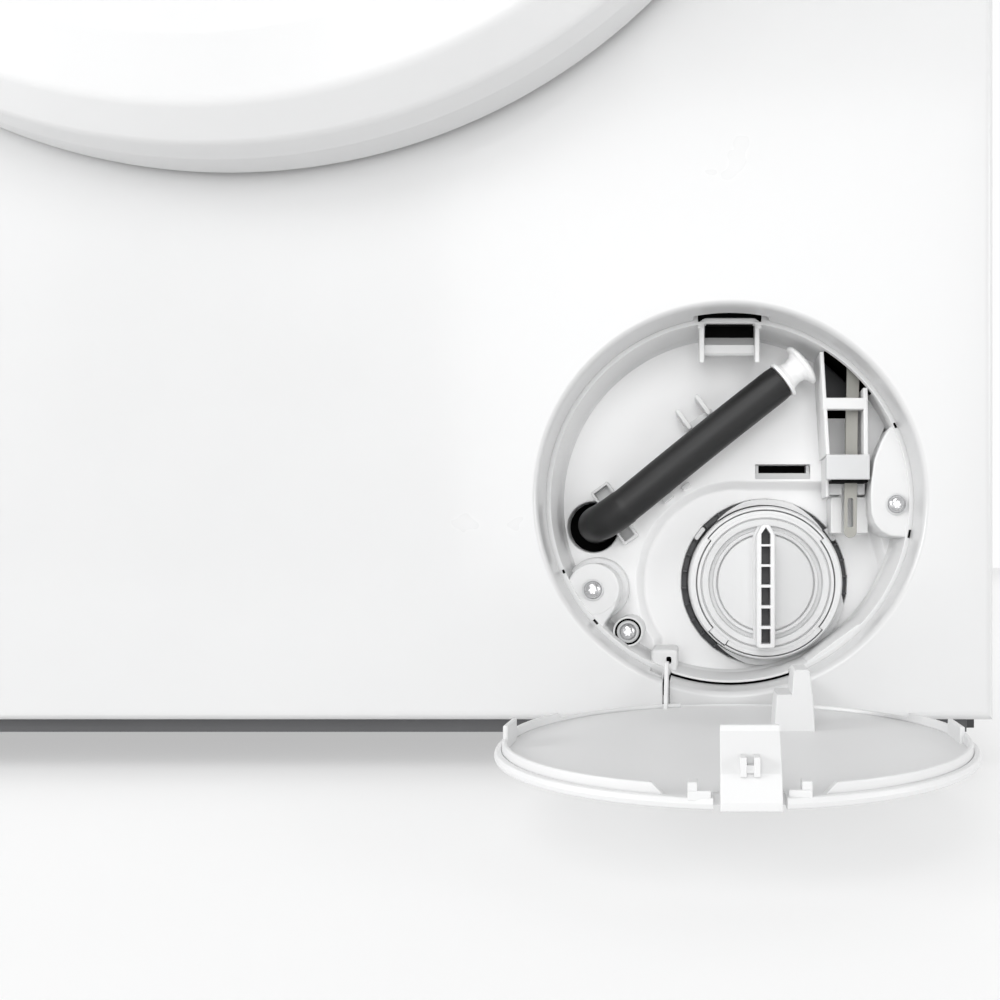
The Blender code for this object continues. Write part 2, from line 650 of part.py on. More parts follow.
# ---- pump, water and drying ---------------------------------------------------------------------
def make_pump():
    centre = (PUMP_X, PUMP_Z)
    housing = lathe("pump_housing", [(r * MM, depth(d * MM)) for r, d in
                                     ((42, 53), (42, 60), (38, 60), (38, 116), (45, 116),
                                      (45, 148), (24, 148), (24, 190), (0, 190), (0, 142),
                                      (28, 142), (28, 124), (12, 124), (12, 118), (34.2, 118),
                                      (34.2, 53))], centre, "dark_plastic", 24)
    join(housing,
         lathe("inlet", [(0, PUMP_Z + 0.0355), (0.015, PUMP_Z + 0.0355), (0.015, PUMP_Z + 0.05),
                         (0, PUMP_Z + 0.05)], (PUMP_X, depth(90 * MM)), segments=24, axis="Z"),
         lathe("outlet", [(0, PUMP_Z + 0.025), (0.0095, PUMP_Z + 0.025), (0.0095, PUMP_Z + 0.06),
                          (0, PUMP_Z + 0.06)], (PUMP_X + 0.030, depth(132 * MM)),
               segments=20, axis="Z"))
    impeller = lathe("pump_impeller", [(r * MM, depth(d * MM)) for r, d in
                                       ((0, 127), (6, 127), (6, 137), (24, 137), (24, 140),
                                        (0, 140))], centre, "grey_plastic", 24)
    for angle in (0, 60, 120):
        a = math.radians(angle)
        line = [(PUMP_X + s * 22 * MM * math.cos(a), PUMP_Z + s * 22 * MM * math.sin(a))
                for s in (-1, 1)]
        join(impeller, prism("blade", ribbon(line, 1 * MM), depth(129 * MM), depth(138 * MM)))
    pivot("pump_impeller_axis", (PUMP_X, depth(134 * MM), PUMP_Z), [impeller])
    return housing


def make_hoses():
    tube("sump_hose", smooth_line([(0.060, depth(0.330), 0.2046), (0.060, depth(0.328), 0.175),
                                   (0.095, depth(0.270), 0.150), (0.155, depth(0.175), 0.178),
                                   (0.198, depth(0.105), 0.190), (PUMP_X, depth(0.090), 0.160),
                                   (PUMP_X, depth(0.090), PUMP_Z + 0.0520)], 4),
         14 * MM, "black_rubber", 12)
    tube("outlet_hose", smooth_line([(PUMP_X + 0.030, depth(0.132), PUMP_Z + 0.0620),
                                     (PUMP_X + 0.030, depth(0.132), PUMP_Z + 0.085),
                                     (0.262, depth(0.150), 0.220), (0.285, depth(0.250), 0.340),
                                     (0.285, depth(0.500), 0.600), (0.285, depth(0.545), 0.740),
                                     (0.285, depth(0.550), 0.765)], 4),
         9 * MM, "grey_plastic", 12)
    valve = box("inlet_valve", (-250 * MM, depth(505 * MM), 748 * MM),
                (-200 * MM, depth(562 * MM), 792 * MM), "white_plastic", 3 * MM, segments=1)
    join(valve, cylinder("port", 10 * MM, (-0.225, 0.770), depth(0.560), depth(0.5902),
                         segments=24))
    lathe("mains_inlet", [(r * MM, depth(d * MM)) for r, d in
                          ((0, 555), (11, 555), (11, 572), (14, 572), (14, 580), (0, 580))],
          (-0.250, 0.060), "dark_plastic", 24)


def make_drying():
    fan = (0.128, depth(0.430))
    duct = box("drying_duct", (0.090, depth(0.150), 0.750), (0.166, depth(0.430), 0.808),
               "galvanised")
    join(duct, cylinder("drum", 0.066, fan, 0.748, 0.810, segments=28, axis="Z"))
    cut(duct, box("cutter", (0.0915, depth(0.10), 0.7515), (0.1645, depth(0.430), 0.8065)),
        cylinder("cutter", 0.0645, fan, 0.7495, 0.8085, segments=28, axis="Z"),
        cylinder("cutter", 0.030, fan, 0.7, 0.76, segments=24, axis="Z"))
    wheel = lathe("fan_impeller", [(0, 0.753), (0.012, 0.753), (0.012, 0.795), (0.056, 0.795),
                                   (0.056, 0.798), (0, 0.798)], fan, "grey_plastic", 24, "Z")
    for i in range(8):
        a = math.radians(45 * i)
        line = [(fan[0] + r * math.cos(a), fan[1] + r * math.sin(a)) for r in (0.036, 0.055)]
        join(wheel, prism("blade", ribbon(line, 0.0008), 0.760, 0.796, "Z"))
    pivot("fan_impeller_axis", (*fan, 0.776), [wheel])
    tube("heater", smooth_line([(0.108, depth(0.165), 0.779), (0.108, depth(0.300), 0.779),
                                (0.118, depth(0.330), 0.779), (0.138, depth(0.330), 0.779),
                                (0.148, depth(0.300), 0.779), (0.148, depth(0.165), 0.779)], 3),
         4 * MM, "steel", 8)


# ---- the round service hatch --------------------------------------------------------------------
# screws of the insert: across and up from the hatch's centre, and head radius
SCREWS = {"hatch_screw_left": (-56.4, -36.6, 3.9), "hatch_screw_lower": (-42.6, -54.4, 3.3),
          "hatch_screw_right": (69.2, -1.3, 3.9)}
SCREW_SEATS = {"hatch_screw_left": 19, "hatch_screw_lower": 25, "hatch_screw_right": 19}
HOSE_LINE = [(-59.5, -10.0, 100), (-59.5, -10.0, 60), (-59.3, -9.9, 42), (-55.0, -8.6, 32),
             (-48.5, -5.0, 28.6),
             (-40.6, 0.9, 28), (-20, 17.5, 28), (0, 33.6, 28), (21.6, 51.0, 28)]


def hatch_limit(radius):
    """A cylinder that what is moulded onto the insert is trimmed to."""
    return hatch_cylinder("limit", radius, 0, 0, 17.9, 70, segments=48)


def tray_outline(inset):
    """The drip tray round the pump filter: a round left side, a straight top, a slanted right."""
    return [*arc(4.1, -34.5, 44.3 - inset, 220, 84, 10), (60.5 - inset, 9.4 - inset),
            (64.3 - inset, -9), (70.9 - inset, -29.6), (73 - inset, -90), (-20, -90)]


def make_hatch_insert():
    insert = hatch_lathe("hatch_insert", [(73.4, INSERT_FRONT / MM), (73.4, 44), (0, 44), (0, 46),
                                          (75.2, 46), (75.2, INSERT_FRONT / MM)])
    recess = hatch_prism("recess", tray_outline(-2), PLATE_DEPTH / MM + 0.6, TRAY_DEPTH / MM + 2)
    join(insert, keep_inside(recess, hatch_limit(75.0)))
    pocket = loft("cutter", hatch_outline(tray_outline(0)), depth(PLATE_DEPTH - 0.6 * MM),
                  hatch_outline(tray_outline(2.7)), depth(TRAY_DEPTH))
    cut(insert, keep_inside(pocket, hatch_limit(73.2)))
    rails = [
        hatch_prism("rail", [(36.6, 61), (38.7, 61), (41.3, 19), (39.3, 19)], 18.6, 44.6),
        hatch_box("rail", 54.9, 57.0, 9.2, 46, 18.6, 44.6),
        hatch_box("bar", 38, 56.5, 37.6, 42.8, 18.9, 23),
        hatch_box("bar", 39.6, 57.0, 9.2, 19.4, 18.9, 23),
        hatch_box("rail", 39.6, 41.7, 9.2, 19.2, 18.7, 44.6),
        hatch_box("block", 43, 46.6, -13, 1.9, 34, 51),
        hatch_box("block", 54.6, 58, -13, 1.9, 34, 51),
        hatch_box("catch", -12.7, -10.6, 57.2, 74.0, 18.6, 44.6),
        hatch_box("catch", 11.6, 13.7, 57.2, 74.0, 18.6, 44.6),
        hatch_box("catch", -12.2, 13.2, 72.9, 74.4, 18.7, 22),
        hatch_box("hinge_block", -33.2, -24.0, -65.9, -57.4, 30, 51),
        hatch_cylinder("boss", 6.2, -42.6, -54.4, 25, 51),
    ]
    left_ear = hatch_cylinder("ear", 10.4, -56.8, -36.7, 19, PLATE_DEPTH / MM + 0.8)
    flange = [(71.6, 32), (64.2, 25.4), (60.5, 16.1), (59.2, 4.7), (59.6, -5.7), (62.1, -10.8),
              (67.1, -13.9), (76, -14.8), (80, 8), (76, 32)]
    right_flange = hatch_prism("flange", flange, 19, PLATE_DEPTH / MM + 0.8)
    rails += [keep_inside(left_ear, hatch_limit(74.8)),
              keep_inside(right_flange, hatch_limit(74.8))]
    for piece in rails:
        join(insert, piece)
    cut(insert, hatch_cylinder("cutter", PUMP_HOLE_R / MM, 15.8, -34.2, 48, 54, segments=32),
        hatch_cylinder("cutter", HOSE_HOLE_R / MM, -59.5, -10, 42, 54, segments=24),
        hatch_box("cutter", 11.6, 35.8, 11.1, 17.7, 42, 50),
        hatch_box("cutter", 43, 53, 22, 36, 42, 50), *arm_notches())
    for name, (x, z, r) in SCREWS.items():
        front = SCREW_SEATS[name] - 3
        cut(insert, hatch_cylinder("cutter", 2.0, x, z, front, front + 16, segments=16))
    return insert


def make_hatch_screws():
    for name, (x, z, r) in SCREWS.items():
        seat = SCREW_SEATS[name]
        hatch_lathe(name, [(0, seat - 2.4), (r - 0.8, seat - 2.2), (r, seat - 1.2),
                           (r, seat - 0.4), (1.6, seat - 0.4), (1.6, seat + 9), (0, seat + 9)],
                    "steel", 12, x, z)


def flap_xy(x, d):
    return (HATCH_X + x * MM, depth(d * MM))


def flap_box(name, x0, x1, d0, d1, z0, z1):
    """A box on the open flap: x from the hatch's centre, depth, height above the panel's edge."""
    return box(name, (HATCH_X + x0 * MM, depth(d0 * MM), PANEL_BOTTOM_Z + z0 * MM),
               (HATCH_X + x1 * MM, depth(d1 * MM), PANEL_BOTTOM_Z + z1 * MM))


def flap_arm(name, x0, x1, outline):
    """A hinge arm: an outline of (depth, height above the panel's edge), between two X."""
    shape = [(depth(d * MM), PANEL_BOTTOM_Z + z * MM) for d, z in outline]
    return prism(name, shape, HATCH_X + x0 * MM, HATCH_X + x1 * MM, "X")


def make_flap():
    centre = flap_xy(0, -75.6)
    profile = [(0, 4.4), (73.8, 4.4), (74.6, 5.2), (74.6, 7.0), (72, 7.0), (72, 11), (70.6, 11),
               (70.6, 7.0), (0, 7.0)]
    flap = lathe("service_flap", [(r * MM, PANEL_BOTTOM_Z + z * MM) for r, z in profile], centre,
                 "white_plastic", 48, "Z")
    # the raised rim is open either side of the latch
    cut(flap, flap_box("cutter", -21, 23, -152, -135, 7.0, 14))
    join(flap,
         flap_arm("arm", -26.5, -24.5, [(-12, 5.5), (-12, 9), (-4, 22.5), (-3, 23.7), (1.8, 23.7),
                                        (5.3, 9.5), (5.2, 6.9), (2.4, 6.5), (-0.9, 6.5),
                                        (-1.6, 5.5)]),
         flap_arm("arm", 24.5, 26.5, [(-14, 5.5), (-14, 10), (-5, 19.6), (1.5, 20.6),
                                      (5.3, 9.5), (5.2, 6.9), (2.4, 6.5), (-0.9, 6.5),
                                      (-1.6, 5.5)]),
         # a stepped post that meets the filter's grip if the filter isn't turned home
         flap_box("post", 13.4, 26.4, -58.7, -41.2, 5.5, 18.6),
         flap_box("post", 19.6, 25.2, -58.3, -41.6, 5.5, 26.8),
         flap_box("tab", -69.5, -66.5, -88, -70, 5.5, 15.4),
         flap_box("tab", 66.5, 69.5, -80, -62, 5.5, 12.5),
         flap_box("prong", -14.5, -12, -138, -128, 5.5, 12),
         flap_box("prong", 12, 14.5, -138, -128, 5.5, 12),
         cylinder("rod", FLAP_ROD_R, (depth(FLAP_HINGE_DEPTH), FLAP_HINGE_Z), HATCH_X - 32 * MM,
                  HATCH_X + 36 * MM, segments=16, axis="X"))
    # the tongue is moulded on its own and clips between two cheeks
    latch = flap_box("flap_latch", -6, 9, -147.4, -145.6, 7.4, 24.6)
    join(latch, flap_box("boss", -1.1, 3.7, -148.8, -146, 11.5, 17),
         flap_box("root", -7.5, 10.5, -147.4, -139.4, 7.4, 9.2))
    latch.data.materials[0] = material("white_plastic")
    pivot("flap_latch_axis", (HATCH_X + 1.5 * MM, depth(-143.4 * MM), PANEL_BOTTOM_Z + 8.3 * MM),
          [latch])
    pivot("service_flap_axis", (HATCH_X, depth(FLAP_HINGE_DEPTH), FLAP_HINGE_Z), [flap])


def make_filter():
    cap = hatch_lathe("filter_cap", [(0, 38.8), (19.5, 38.6), (21.5, 37.2), (23.6, 36.2),
                                     (25.6, 37.2), (27.4, 38.4), (28.8, 36), (31.7, 35.2),
                                     (33.4, 36.6), (33.4, 40.5), (32.4, 41.5), (32.4, 56),
                                     (29.6, 56), (29.6, 64), (0, 64)],
                      "white_plastic", 32, 15.8, -34.2)
    join(cap, hatch_prism("grip", rounded_rectangle(11.9, -61.2, 19.7, -7.2, 3.6, 3), 24, 40.5))
    cut(cap, *(hatch_box("cutter", 13.8, 17.8, z - 3.3, z + 3.3, 20, 34)
               for z in (-14.6, -22.4, -30.4, -38.6, -46.6, -54.4)))
    seal = hatch_lathe("filter_seal", [(30, 56.6), (33.4, 56.6), (33.8, 58.5), (33.4, 60.4),
                                       (30, 60.4)], "black_rubber", 24, 15.8, -34.2)
    cage = hatch_lathe("filter_insert", [(0, 64.4), (28, 64.4), (28, 112), (25.5, 112),
                                         (25.5, 67), (0, 67)], "grey_plastic", 16, 15.8, -34.2)
    for angle in range(0, 180, 45):
        a = math.radians(angle)
        u, v = math.cos(a) * 40, math.sin(a) * 40
        line = hatch_outline([(15.8 - u, -34.2 - v), (15.8 + u, -34.2 + v)])
        cut(cage, prism("cutter", ribbon(line, 5 * MM), depth(72 * MM), depth(104 * MM)))
    axis = (PUMP_X, depth(40 * MM), PUMP_Z)
    pivot("filter_axis", axis, [cap, cage, seal])


def make_emergency_drain():
    line = smooth_line([hatch(x, z, d) for x, z, d in HOSE_LINE], 3)
    hose = tube("drain_hose", line, HOSE_R, "black_rubber", 16)
    along = Vector(hatch(21.6, 51.0, 28)) - Vector(hatch(0, 33.6, 28))
    along.normalize()
    profile = [(0, 0.4), (8.4, 0.4), (8.4, 3.4), (5.2, 4.4), (5.2, 8.8), (9, 9.8), (9, 12),
               (7.6, 13.4), (0, 13.4)]
    stopper = lathe("hose_stopper", [(r * MM, a * MM) for r, a in profile], (0, 0),
                    "white_plastic", 20, "Z")
    turn = Vector((0, 0, 1)).rotation_difference(along).to_matrix().to_4x4()
    end = Vector(hatch(21.6, 51.0, 28))
    stopper.data.transform(Matrix.Translation(end) @ turn)
    pivot("hose_stopper_axis", tuple(end + along * 7 * MM), [stopper])
    pivot("drain_hose_axis", hatch(-57, -9, 42), [hose])
    tip = arc(50.9, -12.4, 2.6, 180, 360, 8)
    strap = hatch_prism("release_strap", [(48.7, 47), *[(x, z) for x, z in tip], (54.1, 47)],
                        25.4, 27, "strap_grey")
    cut(strap, hatch_prism("cutter", rounded_rectangle(49.8, -10.2, 51.9, 1.5, 1.0, 3), 20, 30))
    pivot("release_strap_slide", hatch(51, 0, 26.2), [strap])


# ---- assembly -----------------------------------------------------------------------------------
def main():
    for obj in list(bpy.data.objects):
        bpy.data.objects.remove(obj)
    make_cabinet_shell()
    make_front_panel()
    make_base_pan()
    for foot, place in zip(make_feet(), FEET):
        pivot(foot.name + "_axis", (*place, 5 * MM), [foot])
    make_worktop()
    make_rear_panel()
    make_fascia()
    make_controls()
    make_drawer()
    make_dispenser_box()
    make_door()
    make_door_hinge()
    make_door_fixings()
    make_tub()
    make_drum()
    make_drive()
    make_suspension()
    make_pump()
    make_hoses()
    make_drying()
    make_hatch_insert()
    make_hatch_screws()
    make_flap()
    make_filter()
    make_emergency_drain()
    for obj in bpy.data.objects:
        shade(obj)


main()
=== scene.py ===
"""Looks of a washer dryer with an open service hatch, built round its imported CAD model.

Meshes are drawn in millimetres as (across, depth behind the front face, up) from a local origin,
and settle() scales them to metres and puts them in their place in the frame.
"""
import math

import bmesh
import bpy
from mathutils import Matrix, Vector


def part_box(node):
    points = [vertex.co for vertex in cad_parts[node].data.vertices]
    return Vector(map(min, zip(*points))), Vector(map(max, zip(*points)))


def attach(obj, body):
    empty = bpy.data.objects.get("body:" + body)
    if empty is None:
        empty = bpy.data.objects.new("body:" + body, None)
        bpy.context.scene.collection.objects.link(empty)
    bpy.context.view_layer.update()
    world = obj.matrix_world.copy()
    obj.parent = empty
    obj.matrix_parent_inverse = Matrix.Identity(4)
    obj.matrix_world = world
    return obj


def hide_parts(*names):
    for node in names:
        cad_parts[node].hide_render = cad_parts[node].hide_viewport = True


MM = 0.001
ROUND = 144                                # segments of a large circle

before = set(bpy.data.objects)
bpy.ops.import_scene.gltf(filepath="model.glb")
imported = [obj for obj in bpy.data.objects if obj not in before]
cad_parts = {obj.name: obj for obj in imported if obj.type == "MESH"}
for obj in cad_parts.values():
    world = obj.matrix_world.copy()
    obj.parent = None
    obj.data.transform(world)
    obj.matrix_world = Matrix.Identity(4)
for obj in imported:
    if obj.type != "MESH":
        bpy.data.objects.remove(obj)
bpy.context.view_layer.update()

# ---- places, from the frame ----------------------------------------
panel_low, panel_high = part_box("front_panel")
insert_low, insert_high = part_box("hatch_insert")
cover_low, cover_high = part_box("door_cover")
FRONT = panel_low.y
HATCH = Vector(((insert_low.x + insert_high.x) / 2, FRONT, (insert_low.z + insert_high.z) / 2))
FLAP = Vector((HATCH.x, FRONT, panel_low.z))
DOOR = Vector((0, FRONT, (cover_low.z + cover_high.z) / 2))
MACHINE = Vector((0, FRONT, 0))
HALF_W = panel_high.x / MM
PANEL_BOTTOM = panel_low.z / MM
PANEL_TOP = panel_high.z / MM
SHEET = 1.2                                # thickness of the sheet steel
DOOR_HOLE_R = 165.0

MOUTH_R = 78.3                             # the hatch's rolled edge
LIP_R = 76.1                               # the lip behind it, and its narrowest place
THROAT_R = 75.5
LIP_END = 17.0
INSERT_R = 76.2                            # the moulded ring behind the lip
INSERT_INNER_R = 73.7
PLATE = 44.0                               # depths inside the hatch
FLOOR = 50.0
PUMP = (15.8, -34.2)                       # axis of the pump filter in the hatch
PUMP_HOLE_R = 36.7
HOSE_HOLE = (-59.5, -10.0)
BOSS = (-42.6, -54.4)                      # the lower screw, in its round boss


# ---- outlines ------------------------------------------------------
def around(x, z, radius, degrees):
    """The point at a radius and angle about another point."""
    a = math.radians(degrees)
    return x + radius * math.cos(a), z + radius * math.sin(a)


def arc(x, z, radius, start, end, steps=24):
    """Points on an arc; angles in degrees."""
    return [around(x, z, radius, start + (end - start) * i / steps) for i in range(steps + 1)]


def circle(x, z, radius, steps=ROUND):
    return arc(x, z, radius, 0, 360 - 360 / steps, steps - 1)


def fillet(corners, radius, steps=4):
    """A closed outline with rounded corners; a corner may carry a radius of its own."""
    found = []
    for i, corner in enumerate(corners):
        own = corner[2] if len(corner) > 2 else radius
        here = Vector(corner[:2])
        back = Vector(corners[i - 1][:2]) - here
        ahead = Vector(corners[(i + 1) % len(corners)][:2]) - here
        turn = back.angle(ahead, math.pi)
        if own <= 0 or turn > math.radians(170):
            found.append(tuple(here))
            continue
        reach = min(own / math.tan(turn / 2), back.length * 0.48, ahead.length * 0.48)
        own = reach * math.tan(turn / 2)
        centre = here + (back.normalized() + ahead.normalized()).normalized() * own / math.sin(
            turn / 2)
        first = here + back.normalized() * reach - centre
        last = here + ahead.normalized() * reach - centre
        start = math.atan2(first.y, first.x)
        sweep = (math.atan2(last.y, last.x) - start + math.pi) % (2 * math.pi) - math.pi
        for k in range(steps + 1):
            a = start + sweep * k / steps
            found.append((centre.x + own * math.cos(a), centre.y + own * math.sin(a)))
    return found


def rectangle(x0, z0, x1, z1, radius=0.0, steps=4):
    return fillet([(x0, z0), (x1, z0), (x1, z1), (x0, z1)], radius, steps)


def tilted(x, z, width, height, angle, radius=0.4):
    """A rectangle about a point, turned by degrees."""
    a = math.radians(angle)
    return [(x + u * math.cos(a) - v * math.sin(a), z + u * math.sin(a) + v * math.cos(a))
            for u, v in rectangle(-width / 2, -height / 2, width / 2, height / 2, radius)]


def inset(outline, by):
    """The outline moved inwards, or outwards if the distance is negative."""
    pairs = list(zip(outline, outline[1:] + outline[:1]))
    side = 1 if sum(a[0] * b[1] - b[0] * a[1] for a, b in pairs) > 0 else -1
    found = []
    for i, here in enumerate(outline):
        before = (Vector(here) - Vector(outline[i - 1])).normalized()
        after = (Vector(outline[(i + 1) % len(outline)]) - Vector(here)).normalized()
        one = Vector((-before.y, before.x)) * side
        two = Vector((-after.y, after.x)) * side
        found.append(tuple(Vector(here) + (one + two) * by / max(1 + one.dot(two), 0.4)))
    return found


def ribbon(line, half):
    """The closed outline of a strip of a given half thickness along an open line."""
    left, right = [], []
    for i, (x, y) in enumerate(line):
        before, after = line[max(i - 1, 0)], line[min(i + 1, len(line) - 1)]
        run = Vector((after[0] - before[0], after[1] - before[1])).normalized()
        left.append((x - run.y * half, y + run.x * half))
        right.append((x + run.y * half, y - run.x * half))
    return left + right[::-1]


# ---- meshes --------------------------------------------------------
def put(axis, u, v, t):
    """A point from outline coordinates and a place along the axis."""
    return {"Y": (u, t, v), "Z": (u, v, t), "X": (t, u, v)}[axis]


def new_object(name, points, faces):
    mesh = bpy.data.meshes.new(name)
    mesh.from_pydata([tuple(p) for p in points], [], faces)
    bm = bmesh.new()
    bm.from_mesh(mesh)
    bmesh.ops.recalc_face_normals(bm, faces=bm.faces)
    bm.to_mesh(mesh)
    bm.free()
    obj = bpy.data.objects.new(name, mesh)
    bpy.context.scene.collection.objects.link(obj)
    return obj


def stack(name, rings, axis="Y"):
    """A solid through outlines with equally many points, each at its place along the axis."""
    count = len(rings[0][0])
    points = [put(axis, u, v, t) for outline, t in rings for u, v in outline]
    faces = [list(range(count)), list(range(len(points) - count, len(points)))]
    for k in range(len(rings) - 1):
        low, high = k * count, (k + 1) * count
        faces += [[low + i, low + (i + 1) % count, high + (i + 1) % count, high + i]
                  for i in range(count)]
    return new_object(name, points, faces)


def pad(name, outline, near, far, edge=0.5, axis="Y", both=False, steps=3):
    """An extruded outline whose near edge, or both edges, are rounded."""
    rings = []
    for k in range(steps + 1):
        a = math.radians(90 * k / steps)
        rings.append((inset(outline, edge * (1 - math.sin(a))), near + edge * (1 - math.cos(a))))
    if both:
        rings += [(ring, far - (t - near)) for ring, t in reversed(rings)]
    else:
        rings.append((outline, far))
    return stack(name, rings, axis)


def lathe(name, profile, x=0.0, z=0.0, segments=ROUND, axis="Y", sector=None):
    """Turns a closed profile of (radius, place along the axis); a sector is (start, end)."""
    start, end = sector or (0, 360)
    steps = segments if not sector else max(2, round(segments * (end - start) / 360))
    stations = steps if not sector else steps + 1
    points, rings = [], []
    for radius, t in profile:
        rings.append((len(points), stations if radius > 1e-6 else 1))
        for i in range(rings[-1][1]):
            a = math.radians(start + (end - start) * i / steps)
            points.append(put(axis, x + radius * math.cos(a), z + radius * math.sin(a), t))
    faces = []
    for (a, na), (b, nb) in zip(rings, rings[1:] + rings[:1]):
        for i in range(steps if na + nb > 2 else 0):
            j = (i + 1) % stations
            loop = [a + i % na, a + j % na, b + j % nb, b + i % nb]
            faces.append(list(dict.fromkeys(loop)))
    if sector:
        faces.append([a for a, n in rings])
        faces.append([a + n - 1 for a, n in rings])
    return new_object(name, points, faces)


def turned(name, corners, radius=0.5, steps=4, **more):
    """A turned piece with rounded profile corners; corners on the axis stay sharp."""
    return lathe(name, fillet([(*c[:2], 0) if c[0] <= 0 else c for c in corners], radius, steps),
                 **more)


def block(name, x, d, z, edge=0.4, chosen=None, steps=3):
    """A box between limits in x, depth and z, with its chosen edges, or all, rounded."""
    obj = stack(name, [(rectangle(x[0], z[0], x[1], z[1]), d[0]),
                       (rectangle(x[0], z[0], x[1], z[1]), d[1])])
    if edge:
        bm = bmesh.new()
        bm.from_mesh(obj.data)
        edges = [e for e in bm.edges if chosen is None or chosen(e)]
        bmesh.ops.bevel(bm, geom=edges, offset=edge, segments=steps, profile=0.5, affect="EDGES")
        bm.to_mesh(obj.data)
        bm.free()
    return obj


def sweep(name, line, radii, sides=40):
    """A round tube along 3-D points, with a radius for each, closed at both ends."""
    line = [Vector(p) for p in line]
    tangents = [(b - a).normalized() for a, b in zip(line[:1] + line[:-1], line[1:] + line[-1:])]
    normal = tangents[0].orthogonal().normalized()
    points, count = [], len(line)
    for here, tangent, radius in zip(line, tangents, radii):
        normal = (normal - tangent * normal.dot(tangent)).normalized()
        side = tangent.cross(normal)
        for i in range(sides):
            a = 2 * math.pi * i / sides
            points.append(here + (normal * math.cos(a) + side * math.sin(a)) * radius)
    faces = [list(range(sides)), list(range((count - 1) * sides, count * sides))]
    for k in range(count - 1):
        faces += [[k * sides + i, k * sides + (i + 1) % sides, (k + 1) * sides + (i + 1) % sides,
                   (k + 1) * sides + i] for i in range(sides)]
    return new_object(name, points, faces)


def smooth_line(given, per_span=8):
    """Points along a Catmull-Rom curve through the given ones."""
    given = [Vector(p) for p in given]
    ends = [2 * given[0] - given[1], *given, 2 * given[-1] - given[-2]]
    line = []
    for a, b, c, d in zip(ends, ends[1:], ends[2:], ends[3:]):
        for step in range(per_span):
            t = step / per_span
            line.append(0.5 * (2 * b + (c - a) * t + (2 * a - 5 * b + 4 * c - d) * t ** 2
                               + (3 * b - a - 3 * c + d) * t ** 3))
    return line + [given[-1]]


def boolean(target, operation, others):
    for other in others:
        step = target.modifiers.new(operation, "BOOLEAN")
        step.operation, step.solver, step.object = operation, "EXACT", other
    graph = bpy.context.evaluated_depsgraph_get()
    done = bpy.data.meshes.new_from_object(target.evaluated_get(graph))
    target.modifiers.clear()
    target.data = done
    for other in others:
        bpy.data.objects.remove(other)
    return target


def cut(target, *cutters):
    return boolean(target, "DIFFERENCE", cutters)


def join(target, *others):
    return boolean(target, "UNION", others)


def keep_inside(target, limit):
    return boolean(target, "INTERSECT", [limit])


def merge(name, pieces):
    """One object from several bodies that belong to the same moulding."""
    bm = bmesh.new()
    for piece in pieces:
        bm.from_mesh(piece.data)
        bpy.data.objects.remove(piece)
    mesh = bpy.data.meshes.new(name)
    bm.to_mesh(mesh)
    bm.free()
    obj = bpy.data.objects.new(name, mesh)
    bpy.context.scene.collection.objects.link(obj)
    return obj


def settle(obj, origin, body, look, *replaced, slot=None):
    """Puts a finished mesh in its place, on its body, with its material."""
    obj.data.transform(Matrix.Translation(origin) @ Matrix.Scale(MM, 4))
    obj.data.materials.clear()
    obj.data.materials.append(FINISHES[look])
    obj.data.shade_smooth()
    obj.data.set_sharp_from_angle(angle=math.radians(35))
    weigh = obj.modifiers.new("weighted", "WEIGHTED_NORMAL")
    weigh.keep_sharp = True
    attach(obj, body)
    if replaced:
        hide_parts(*replaced)
    return obj


# ---- materials -----------------------------------------------------
FINISHES = {}


